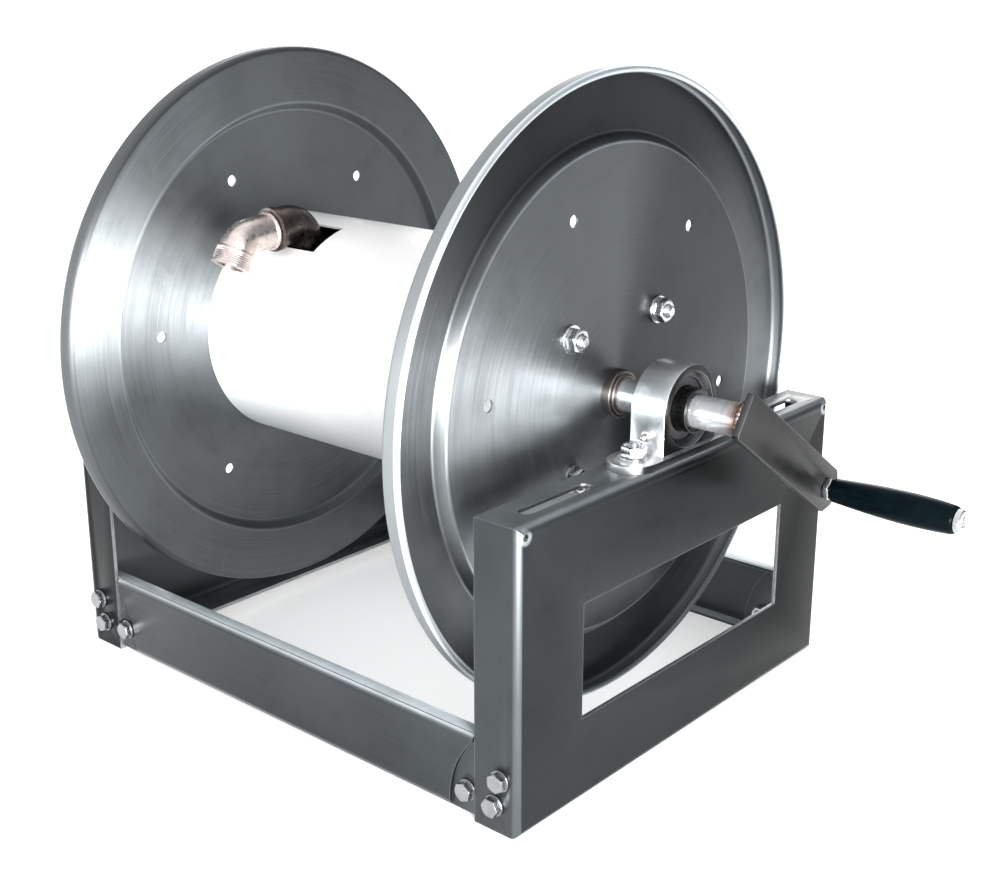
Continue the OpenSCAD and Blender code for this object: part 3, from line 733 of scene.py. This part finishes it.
# The elbow and riser take a much darker copy of the heat-tinted finish than the spout. The heat tint is
# real; the extra darkness is painted shade inside the drum and at its opening.
TINTED_SHADED = tinted_steel("tinted_elbow_shaded", [(0.030, 0.026, 0.025), (0.09, 0.072, 0.066),
                                            (0.19, 0.155, 0.14), (0.42, 0.36, 0.33)], 0.5)
TINTED_PALE = tinted_steel("tinted_spout", [(0.36, 0.28, 0.25), (0.62, 0.53, 0.50),
                                            (0.78, 0.70, 0.67), (0.86, 0.80, 0.78)], 0.25)
WELD = weld_bead("weld_bead")
DRUM = white_paint("drum_paint")
GRIP = black_plastic("grip_black")
RUBBER = rubber("seal_rubber")
BRASS = brass("brass")
SCREW = bright_steel("black_screw", 0.035, 0.38)


# ---- Reel ----

DISC_HOLE_R = 150 * MM
LIP, BEAD = 14, 2.6
CRANK_DISC_X = high("crank_side_disc").x - LIP * MM
SWIVEL_DISC_X = low("swivel_side_disc").x + LIP * MM
DISC_STEPS = 240
OUTLET_X = middle("outlet_spout").x
RISER_TURN = 113.0
OUTLET_HOLE_TURN = RISER_TURN + 0.5
RUN_TURN = RISER_TURN + 73
TIP_TURN = RISER_TURN + 127


def disc_profile():
    """Section of a disc: raised middle, stepped ring, curled lip with a rolled bead."""
    r = DISC_R / MM
    bead_a, bead_r = LIP - BEAD, r - BEAD
    start = [(DISH, 19, 0), (DISH, DISH_IN, 2.5), (0, DISH_OUT, 2), (0, r - 2, 3),
             (bead_a - 2.5, r - 2, 0)]
    bead = [(bead_a + BEAD * math.sin(math.radians(t)), bead_r + BEAD * math.cos(math.radians(t)), 0)
            for t in range(285, -1, -15)]
    back = [(-2, r, 5), (-2, DISH_OUT - 1, 3.5), (DISH - 2, DISH_IN - 1, 1.5), (DISH - 2, 19, 0)]
    return in_mm(fillet(start + bead + back, step=math.radians(8)))


def disc(name, node, x, out, turn, paint):
    at = on_axle(x, out=out)
    holes = Build()
    for i in range(6):
        a = math.radians(turn + 60 * i)
        spot = on_axle(x, DISC_HOLE_R * math.cos(a), DISC_HOLE_R * math.sin(a), out)
        rod(holes, spot, 4.75 * MM, -10 * MM, 30 * MM, 40)
    build = Build().lathe(disc_profile(), at, DISC_STEPS)
    piece(name, build, "reel", paint, [node], cut=[cutter(holes)], sharp=40)


def drum():
    x0, x1 = low("drum").x, high("drum").x
    r = (high("drum").y - low("drum").y) / 2
    t = 2 * MM
    edge = 0.4 * MM
    spans = [x0 + (x1 - x0) * i / 40 for i in range(41)]
    skin = [(x0 + edge, r)] + [(x, r) for x in spans[1:-1]] + [(x1 - edge, r)]
    inner = [(x1, r - t), (x0, r - t)]
    profile = [(x0, r - edge)] + skin + [(x1, r - edge)] + inner
    build = Build().lathe(profile, on_axle(0), 192)
    turn = math.radians(OUTLET_HOLE_TURN)
    box = Build()
    w, l = 19.5 * MM, 35 * MM
    rows = []
    for d in (r * 0.6, r * 1.3):
        rows.append([(d, -w, -l), (d, w, -l), (d, w, l), (d, -w, l)])
    box.rings(rows, on_axle(OUTLET_X) @ Matrix.Rotation(turn, 4, "Z"), False, (True, True))
    piece("drum_shell", build, "reel", DRUM, ["drum"], cut=[cutter(box)])


def hub(name, node, out):
    x = (high(node).x if out > 0 else low(node).x) - out * 8 * MM
    profile = in_mm(fillet([(-7, 12.7, 0), (-7, 34, 1.2), (-2, 34, 1.2), (-2, 19, 0), (8, 19, 1.6),
                            (8, 12.7, 0.6)]))
    # welded seat round the axle, a shallow bead
    bead = Build().lathe(profile, on_axle(x, out=out), 72)
    ring = [(8 * MM + 2.2 * MM * math.sin(math.radians(t)),
             AXLE_R + 1.4 * MM + 2.4 * MM * math.cos(math.radians(t))) for t in range(0, 360, 30)]
    bead.lathe(ring, on_axle(x, out=out), 72)
    piece(name, bead, "reel", HUB_STEEL, [node])


# ---- Outlet ----

def polar(r, turn):
    return Vector((r * math.cos(math.radians(turn)), r * math.sin(math.radians(turn))))


def smooth_path(points, spacing=1.2):
    """Points of a filleted line in the plane across the axle, evenly fine, with their tangents."""
    line = [Vector(p) for p in fillet(points, closed=False, step=math.radians(5))]
    out = [line[0]]
    for a, b in zip(line, line[1:]):
        steps = max(1, math.ceil((b - a).length / spacing))
        out += [a + (b - a) * k / steps for k in range(1, steps + 1)]
    return out


def pipe(build, points, outside, bore, steps=48):
    """A tube along a flat path; outside gives the radius at a distance along it."""
    run = [0.0]
    for a, b in zip(points, points[1:]):
        run.append(run[-1] + (b - a).length)
    total = run[-1]

    def ring(i, r):
        ahead = points[min(i + 1, len(points) - 1)] - points[max(i - 1, 0)]
        ahead.normalize()
        side = Vector((-ahead.y, ahead.x))
        return [(points[i].x + side.x * r * math.cos(TURN * j / steps),
                 points[i].y + side.y * r * math.cos(TURN * j / steps),
                 r * math.sin(TURN * j / steps)) for j in range(steps)]

    rows = [ring(i, outside(run[i], total)) for i in range(len(points))]
    rows += [ring(i, bore) for i in range(len(points) - 1, -1, -1)]
    rows = [[(p[0] * MM, p[1] * MM, p[2] * MM) for p in row] for row in rows]
    build.rings(rows, on_axle(OUTLET_X), True)


def raised(s, start, end, height, edge=1.2):
    """Height of a rounded band between two distances."""
    rise = min(max((s - start) / edge, 0.0), 1.0) * min(max((end - s) / edge, 0.0), 1.0)
    return height * math.sin(rise * math.pi / 2)


def outlet():
    corner = polar(112, RISER_TURN)
    bend = corner + polar(63, RUN_TURN)
    foot = polar(82, RISER_TURN)
    mouth = corner + polar(31, RUN_TURN)
    elbow = smooth_path([(*foot, 0), (*corner, 18), (*mouth, 0)], 0.6)

    def elbow_radius(s, total):
        r = 17 - raised(s, -5, 1.0, 0.8, 0.8) - raised(total - s, -5, 1.0, 0.8, 0.8)
        return r + raised(s, 0, 7, 2) + raised(total - s, 0, 7, 2)

    build = Build()
    pipe(build, elbow, elbow_radius, 11.8)
    piece("outlet_elbow_cast", build, "reel", TINTED_SHADED, ["outlet_elbow"])

    root = corner + polar(19, RUN_TURN)
    tip = bend + polar(25, TIP_TURN)
    spout = smooth_path([(*root, 0), (*bend, 16), (*tip, 0)], 0.6)

    def spout_radius(s, total):
        back = total - s
        collar = raised(back, -4, 15, 1.7)
        groove = 0.5 * (0.5 - 0.5 * math.cos(TURN * back / 1.8)) if 1.0 < back < 13 else 0.0
        return 15 + collar - groove * min(1.0, (back - 1.0) / 1.5, (13 - back) / 1.5)

    build = Build()
    pipe(build, spout, spout_radius, 11)
    seam = [corner + polar(r, RUN_TURN) for r in (31, 35)]
    path = smooth_path([(*end, 0) for end in seam], 0.4)
    pipe(build, path, lambda s, total: 15.2 + 1.6 * math.sin(math.pi * s / total), 14.0)
    piece("outlet_spout_bent", build, "reel", TINTED_PALE, ["outlet_spout"])


# ---- Fasteners ----

def hexagon(build, at, flat, z0, z1, bore=0.0, both=False, turn=0.0):
    """A chamfered hexagon head, or a nut where it has a bore."""
    steps = 60
    apothem = flat / 2
    ease = apothem * 0.96
    slope = math.tan(math.radians(28))
    corner = [apothem / math.cos(math.radians((360.0 * j / steps) % 60 - 30)) for j in range(steps)]
    way = [(math.cos(TURN * j / steps + turn), math.sin(TURN * j / steps + turn)) for j in range(steps)]

    def circle(r, z):
        return [(r * c, r * s, z) for c, s in way]

    def outline(z, sign):
        return [(corner[j] * way[j][0], corner[j] * way[j][1], z - sign * (corner[j] - ease) * slope)
                for j in range(steps)]

    rows = [circle(ease, z0), outline(z0, -1) if both else outline(z0, 0)]
    rows += [outline(z1, 1), circle(ease, z1)]
    if bore:
        dip = (z1 - z0) * 0.08
        rows += [circle(bore + dip, z1), circle(bore, z1 - dip), circle(bore, z0 + dip),
                 circle(bore + dip, z0)]
        build.rings(rows, at, True)
    else:
        rows += [circle(ease * 0.72, z1), circle(ease * 0.66, z1 - flat * 0.012)]
        build.rings(rows, at, False, (True, True))


def threaded(build, at, r, z0, z1, pitch, steps=24):
    """A threaded bar end, with a small lead-in."""
    rows = []
    count = max(4, int((z1 - z0) / pitch * 6))
    depth = pitch * 0.5
    for i in range(count + 1):
        z = z0 + (z1 - z0) * i / count
        lead = max(0.0, pitch - (z1 - z)) * 0.8
        row = []
        for j in range(steps):
            phase = (z / pitch - j / steps) % 1.0
            rr = r - depth * abs(2 * phase - 1) - lead
            row.append((rr * math.cos(TURN * j / steps), rr * math.sin(TURN * j / steps), z))
        rows.append(row)
    build.rings(rows, at, False, (True, True))


def washer(build, at, r, bore, z0, z1):
    e = 0.25 * MM
    build.lathe([(z0, bore), (z0, r - e), (z0 + e, r), (z1 - e, r), (z1, r - e), (z1, bore)], at, 48)


FRAME_INNER = low("crank_end_frame").x
CORNER_X = [HALF_WIDTH - d * MM for d in (16, 21, 49)]
CORNER_Z = [z * MM for z in (42, 21, 21)]
CORNER_AF, CORNER_HEAD, CORNER_NUT, CORNER_WASHER = 13 * MM, 5.3 * MM, 6.5 * MM, 1.6 * MM


def corner_joints():
    bolts, washers, nuts = Build(), Build(), Build()
    for i in range(3):
        for sx in (-1, 1):
            for sy in (-1, 1):
                seat = HALF_DEPTH - (SHEET if i == 2 else 0)
                stack = (1 if i == 2 else 2) * SHEET
                turn = math.radians((i * 23 + (sx + 1) * 17 + (sy + 1) * 8) % 60)
                at = frame_at((sx * CORNER_X[i], sy * seat, CORNER_Z[i]), (0, sy, 0), (1, 0, 0))
                hexagon(bolts, at, CORNER_AF, CORNER_WASHER, CORNER_WASHER + CORNER_HEAD, turn=turn)
                rod(bolts, at, 3.9 * MM, -stack - CORNER_NUT, CORNER_WASHER + 1 * MM, 24)
                end = frame_at((sx * CORNER_X[i], sy * (seat - stack - CORNER_NUT + 0.5 * MM),
                                CORNER_Z[i]), (0, -sy, 0), (1, 0, 0))
                threaded(bolts, end, 4 * MM, 0, 3.5 * MM, 1.25 * MM)
                washer(washers, at, 8 * MM, 4.3 * MM, 0, CORNER_WASHER)
                hexagon(nuts, at, CORNER_AF, -stack - CORNER_NUT, -stack, 4 * MM, True, turn * 1.7)
    piece("corner_bolt_set", bolts, "frame", WORN, ["corner_bolts"], soft=0.25 * MM)
    piece("corner_washer_set", washers, "frame", WORN, ["corner_washers"])
    piece("corner_nut_set", nuts, "frame", BRIGHT, ["corner_nuts"], soft=0.25 * MM)


BEARING_BOLT_Y, BEARING_AF = 50 * MM, 17 * MM
FOOT_T, BEARING_WASHER, BEARING_NUT, BEARING_HEAD = 6 * MM, 2 * MM, 8.5 * MM, 6.4 * MM


def bearing_fasteners():
    bolts, washers, nuts = Build(), Build(), Build()
    x = middle("crank_bearing_housing").x
    z = low("crank_bearing_housing").z
    for sx in (-1, 1):
        for sy in (-1, 1):
            at = frame_at((sx * x, sy * BEARING_BOLT_Y, z), (0, 0, 1), (1, 0, 0))
            under = frame_at((sx * x, sy * BEARING_BOLT_Y, z - SHEET), (0, 0, -1), (1, 0, 0))
            turn = math.radians(19 * (sx + 1) + 11 * (sy + 1))
            hexagon(bolts, under, BEARING_AF, 0, BEARING_HEAD, turn=turn)
            top = FOOT_T + BEARING_WASHER
            rod(bolts, at, 4.9 * MM, -SHEET - 1 * MM, top + BEARING_NUT)
            threaded(bolts, at, 5 * MM, top + BEARING_NUT - 1 * MM, top + BEARING_NUT + 3 * MM,
                     1.5 * MM)
            washer(washers, at, 10 * MM, 5.5 * MM, FOOT_T, top)
            hexagon(nuts, at, BEARING_AF, top, top + BEARING_NUT, 5 * MM, True, turn + 0.2)
    piece("bearing_bolt_set", bolts, "frame", BRIGHT, ["bearing_bolts"], soft=0.25 * MM)
    piece("bearing_washer_set", washers, "frame", BRIGHT, ["bearing_washers"])
    piece("bearing_nut_set", nuts, "frame", BRIGHT, ["bearing_nuts"], soft=0.3 * MM)


TIE_R, TIE_TURN, TIE_AF, TIE_NUT, TIE_WASHER = 77.5 * MM, 47, 17 * MM, 8 * MM, 2 * MM


def tie_rods():
    rods, washers, nuts = Build(), Build(), Build()
    faces = {1: CRANK_DISC_X + DISH * MM, -1: SWIVEL_DISC_X - DISH * MM}
    for i in range(4):
        a = math.radians(TIE_TURN + 90 * i)
        y, z = TIE_R * math.cos(a), TIE_R * math.sin(a)
        rod(rods, on_axle(0, y, z), 4.9 * MM, faces[-1] - 8 * MM, faces[1] + 8 * MM)
        for out in (-1, 1):
            at = on_axle(faces[out], y, z, out)
            turn = math.radians(31 * i + 13 * out)
            washer(washers, at, 11 * MM, 5.2 * MM, 0, TIE_WASHER)
            hexagon(nuts, at, TIE_AF, TIE_WASHER, TIE_WASHER + TIE_NUT, 5 * MM, True, turn)
            threaded(rods, at, 5 * MM, TIE_WASHER + TIE_NUT - 1 * MM, TIE_WASHER + TIE_NUT + 4 * MM,
                     1.5 * MM)
    piece("tie_rod_set", rods, "reel", BRIGHT, ["tie_rods"])
    piece("tie_washer_set", washers, "reel", BRIGHT, ["tie_rod_washers"])
    piece("tie_nut_set", nuts, "reel", BRIGHT, ["tie_rod_nuts"], soft=0.3 * MM)


# ---- Bearings ----

SCREW_TURNS = (60, 180)


def insert(name, node):
    """Outer ring of the bearing with its pressed seal set back from the face."""
    x = middle(node).x
    half = 10
    ring = in_mm(fillet([(-half, 24, 0.3), (-half, 29, 0.6), (half, 29, 0.6), (half, 24, 0.3)]))
    build = Build().lathe(ring, on_axle(x), 72)
    piece(name, build, "frame", RACE, [node])
    seal = Build()
    for out in (-1, 1):
        lip = in_mm(fillet([(-6, 24, 0), (half - 1.2, 24, 0.5), (half - 1.6, 20.5, 0.6),
                            (half - 0.9, 17.6, 0.4), (-6, 17.4, 0)]))
        seal.lathe(lip, on_axle(x, out=out), 72)
    piece(name + "_seal", seal, "frame", RUBBER)


def screw_place(x, turn, r):
    """Placement of a set screw, which looks away from the axle."""
    way = Vector((0, *polar(1, turn)))
    return frame_at(Vector((x, 0, AXLE_Z)) + way * r, way)


def race(name, node, out):
    x = (high(node).x if out > 0 else low(node).x)
    length = high(node).x - low(node).x
    l = length / MM
    profile = in_mm(fillet([(-l, 12.75, 0.5), (-l, 17, 0.8), (0, 17, 1.0), (0, 12.75, 0.5)]))
    build = Build().lathe(profile, on_axle(x, out=out), 72)
    holes = Build()
    for turn in SCREW_TURNS:
        rod(holes, screw_place(x - out * 5 * MM, turn, 14.5 * MM), 2.5 * MM, 0, 6 * MM, 24)
    piece(name, build, "reel", RACE, [node], cut=[cutter(holes)])


def set_screws():
    build = Build()
    for side, node in ((1, "crank_bearing_race"), (-1, "swivel_bearing_race")):
        x = (high(node).x if side > 0 else low(node).x) - side * 5 * MM
        for turn in SCREW_TURNS:
            at = screw_place(x, turn, 13 * MM)
            hexagon(build, at, 2.5 * MM, 1.2 * MM, 2.9 * MM)
            cup = in_mm([(0, 2.4), (3.2, 2.4), (3.4, 2.1), (3.4, 1.45), (1.0, 1.3), (0, 1.3)])
            build.lathe(cup, at, 24)
    piece("race_screw_set", build, "reel", SCREW, ["race_set_screws"])


def nipples():
    build = Build()
    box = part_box("grease_nipples")
    root = Vector((box[1].x - 4.04 * MM, box[0].y + 14 * MM, middle("grease_nipples").z))
    for sx in (-1, 1):
        spot = Vector((sx * middle("crank_bearing_housing").x, root.y, root.z))
        at = frame_at(spot, (0, -1, 0), (1, 0, 0))
        rod(build, at, 2.8 * MM, 0, 6 * MM, 24)
        hexagon(build, at, 7 * MM, 6 * MM, 9 * MM, both=True)
        tip = in_mm([(8.9, 1.7), (9.6, 1.7), (10.4, 2.4), (11.6, 2.5), (12.6, 2.0), (13.4, 1.2),
                     (13.7, 0.7)])
        build.lathe(tip, at, 32, False, (True, True))
    piece("nipple_set", build, "frame", NICKEL, ["grease_nipples"])


# ---- Crank ----

GRIP_Y, GRIP_Z = middle("grip").y, middle("grip").z - AXLE_Z


def crank_weld():
    """Rippled bead round the axle where the arm is welded on."""
    x = high("axle").x
    steps = 180
    rows = []
    for j in range(steps):
        a = TURN * j / steps
        ripple = 1 + 0.10 * math.sin(26 * a) + 0.05 * math.sin(7 * a + 1)
        row = []
        for k in range(14):
            b = TURN * k / 14
            size = 3.1 * ripple
            r = 12.9 + size * max(-0.4, math.cos(b)) * 1.15
            z = -1.4 + size * math.sin(b) * 0.95
            row.append((r * MM * math.cos(a), r * MM * math.sin(a), z * MM))
        rows.append(row)
    build = Build().rings(rows, on_axle(x), True)
    piece("crank_weld_bead", build, "reel", WELD, ["crank_weld"])


def grip_handle():
    x0, x1 = low("grip").x, high("grip").x
    length = (x1 - x0) / MM
    top = (high("grip").z - low("grip").z) / 2 / MM

    def radius(t):
        swell = math.sin(math.radians(min(90, 90 * t / 0.65)))
        return 9.5 + (top - 9.5) * swell - 1.6 * (max(0, t - 0.65) / 0.35) ** 2

    steps = 48
    skin = [(1.2 + i * (length - 3.4) / steps, radius(i / steps)) for i in range(steps + 1)]
    end = radius(1)
    close = [(length - 0.7, end - 0.5), (length, end - 1.4), (length, 5.3), (0, 5.3), (0, 8.0),
             (0.4, 8.9)]
    build = Build().lathe(in_mm(skin + close), on_axle(x0, GRIP_Y, GRIP_Z), 72)
    piece("grip_handle", build, "grip", GRIP, ["grip"], sharp=50)


def grip_bolt():
    x0, x1 = low("grip_bolt").x, high("grip_bolt").x
    build = Build()
    rod(build, on_axle(0, GRIP_Y, GRIP_Z), 4.95 * MM, x0 + 3 * MM, x1 - 3 * MM)
    head = in_mm(fillet([(-5, 0.01, 0), (-5, 9, 0.4), (0, 9, 1.1), (0, 4.2, 0.3), (-2.6, 3.6, 0.2),
                         (-2.6, 0.01, 0)], closed=False))
    build.lathe(head, on_axle(x1, GRIP_Y, GRIP_Z), 48, False, (True, True))
    threaded(build, on_axle(x0 + 4 * MM, GRIP_Y, GRIP_Z, -1), 5 * MM, 0, 4 * MM, 1.5 * MM)
    piece("grip_bolt_turned", build, "reel", BRIGHT, ["grip_bolt"])
    nuts = Build()
    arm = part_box("crank_arm")
    hexagon(nuts, on_axle(arm[0].x, GRIP_Y, GRIP_Z, -1), 17 * MM, 0, 5 * MM, 5 * MM, True, 0.3)
    hexagon(nuts, on_axle(arm[1].x, GRIP_Y, GRIP_Z, 1), 17 * MM, 0, 5 * MM, 5 * MM, True, 0.7)
    piece("grip_nut_set", nuts, "reel", BRIGHT, ["grip_nuts"], soft=0.3 * MM)


# ---- Everything in place ----

WINDOW_Y, WINDOW_Z = 0.140, (0.055, 0.165)
SLOT_Y, SLOT_X = (0.100, 0.180), 0.240


def window_edge(poly):
    """The cut thickness of an end frame's sheet: round its window and slots, at its flanges' ends."""
    x, y, z = poly.center
    nx, _, nz = (abs(n) for n in poly.normal)
    window = abs(y) < WINDOW_Y and WINDOW_Z[0] < z < WINDOW_Z[1] and nx < 0.8
    end = abs(x) < FRAME_INNER + 0.0008 and nx > 0.5
    beside = SLOT_Y[0] < abs(y) < SLOT_Y[1] and abs(x) < SLOT_X
    return window or end or (beside and z > FRAME_CORNER[2] and nz < 0.8)


for node in ("crank_end_frame", "swivel_end_frame"):
    refined(node, 0.5 * MM, FRAME_SHEET, second=CUT_EDGE, chosen=window_edge)
for node in ("front_rail", "rear_rail"):
    refined(node, 0.5 * MM, RAIL_SHEET)
for end in ("crank", "swivel"):
    refined(f"{end}_bearing_housing", 1.4 * MM, PLATED, 3)
corner_joints()
bearing_fasteners()
insert("crank_insert", "crank_bearing_insert")
insert("swivel_insert", "swivel_bearing_insert")
race("crank_race", "crank_bearing_race", 1)
race("swivel_race", "swivel_bearing_race", -1)
set_screws()
nipples()
disc("crank_disc", "crank_side_disc", CRANK_DISC_X, 1, 51.5, CRANK_DISC)
disc("swivel_disc", "swivel_side_disc", SWIVEL_DISC_X, -1, 55.7, SWIVEL_DISC)
drum()
hub("crank_hub", "crank_side_hub", 1)
hub("swivel_hub", "swivel_side_hub", -1)
carried("axle", TURNED)
tie_rods()
carried("riser_pipe", TINTED_SHADED)
outlet()
refined("crank_arm", 1.0 * MM, ARM_SHEET, 3)
crank_weld()
grip_bolt()
grip_handle()
refined("swivel_stem", 0.5 * MM, BRASS)
refined("swivel_gland", 0.5 * MM, BRASS)
refined("swivel_body", 1.0 * MM, BRASS, 3)
carried("swivel_seals", RUBBER)


# ---- Floor, light and camera ----

def floor():
    build = Build()
    half = 30.0
    corners = ((-half, -half), (half, -half), (half, half), (-half, half))
    rows = [[(x, y, z) for x, y in corners] for z in (-0.05, -0.0005)]
    mesh = mesh_of("floor", build.rings(rows, caps=(True, True)))
    ob = link("floor", mesh)
    p = Paint("floor_paint", Metallic=0.0)
    cloud = p.noise(p.place(), 2.0, 3.0, 0.5)
    p.colour(p.ramp(cloud, [(0.3, (0.90, 0.90, 0.90)), (0.7, (0.93, 0.93, 0.93))]))
    p.rough(p.range(cloud, 0.3, 0.7, 0.75, 0.85))
    p.bsdf.inputs["Emission Color"].default_value = (1, 1, 1, 1)
    p.bsdf.inputs["Emission Strength"].default_value = 0.36
    mesh.materials.append(p.mat)


def world():
    """A soft sky, darker on one side, for light and reflections; the camera sees it plain off-white."""
    sky = bpy.data.worlds.new("studio")
    bpy.context.scene.world = sky
    sky.use_nodes = True
    tree = sky.node_tree
    back = tree.nodes["Background"]
    place = tree.nodes.new("ShaderNodeTexCoord")
    dot = tree.nodes.new("ShaderNodeVectorMath")
    dot.operation = "DOT_PRODUCT"
    tree.links.new(place.outputs["Generated"], dot.inputs[0])
    dot.inputs[1].default_value = (0.66, 0.75, 0.0)
    ramp = tree.nodes.new("ShaderNodeValToRGB")
    ramp.color_ramp.interpolation = "EASE"
    for element, (at, colour) in zip(ramp.color_ramp.elements, ((0.15, (1, 1, 1, 1)),
                                                                (0.75, (0.22, 0.24, 0.26, 1)))):
        element.position = at
        element.color = colour
    tree.links.new(dot.outputs["Value"], ramp.inputs["Fac"])
    tree.links.new(ramp.outputs["Color"], back.inputs["Color"])
    back.inputs["Strength"].default_value = 1.2
    plain = tree.nodes.new("ShaderNodeBackground")
    plain.inputs["Color"].default_value = (0.87, 0.88, 0.89, 1)
    both = tree.nodes.new("ShaderNodeMixShader")
    seen = tree.nodes.new("ShaderNodeLightPath").outputs["Is Camera Ray"]
    for out, socket in ((seen, 0), (back.outputs[0], 1), (plain.outputs[0], 2)):
        tree.links.new(out, both.inputs[socket])
    tree.links.new(both.outputs[0], tree.nodes["World Output"].inputs["Surface"])


def lamp(name, kind, power, place, target, **shape):
    light = bpy.data.lights.new(name, kind)
    light.energy = power
    for key, value in shape.items():
        setattr(light, key, value)
    ob = bpy.data.objects.new(name, light)
    bpy.context.scene.collection.objects.link(ob)
    ob.location = place
    ob.rotation_euler = (Vector(target) - Vector(place)).to_track_quat("-Z", "Y").to_euler()


def lights():
    lamp("back_light", "AREA", 110, (-3.0, 3.4, 1.9), (0, 0, 0.25), shape="RECTANGLE", size=4.0, size_y=2.0)
    lamp("low_light", "AREA", 130, (2.1, -1.35, 0.42), (0, 0, 0.3), shape="RECTANGLE", size=0.9, size_y=0.6)
    lamp("disc_light", "SPOT", 600, (2.1, -1.35, 0.40), (-0.22, -0.24, 0.29),
         spot_size=math.radians(11), spot_blend=1.0, shadow_soft_size=0.25)


def camera():
    data = bpy.data.cameras.new("camera")
    data.sensor_width = 36
    data.lens = 53.71
    data.shift_x = 0.0089
    data.shift_y = -0.0196
    data.clip_start = 0.01
    ob = bpy.data.objects.new("camera", data)
    bpy.context.scene.collection.objects.link(ob)
    az, el = math.radians(41.15), math.radians(17.10)
    back = Vector((math.sin(az) * math.cos(el), -math.cos(az) * math.cos(el), math.sin(el)))
    ob.location = (0.8310, -0.8951, 0.5868)
    ob.rotation_euler = (-back).to_track_quat("-Z", "Y").to_euler()
    bpy.context.scene.camera = ob


floor()
world()
lights()
camera()
bpy.context.scene.view_settings.view_transform = "Standard"
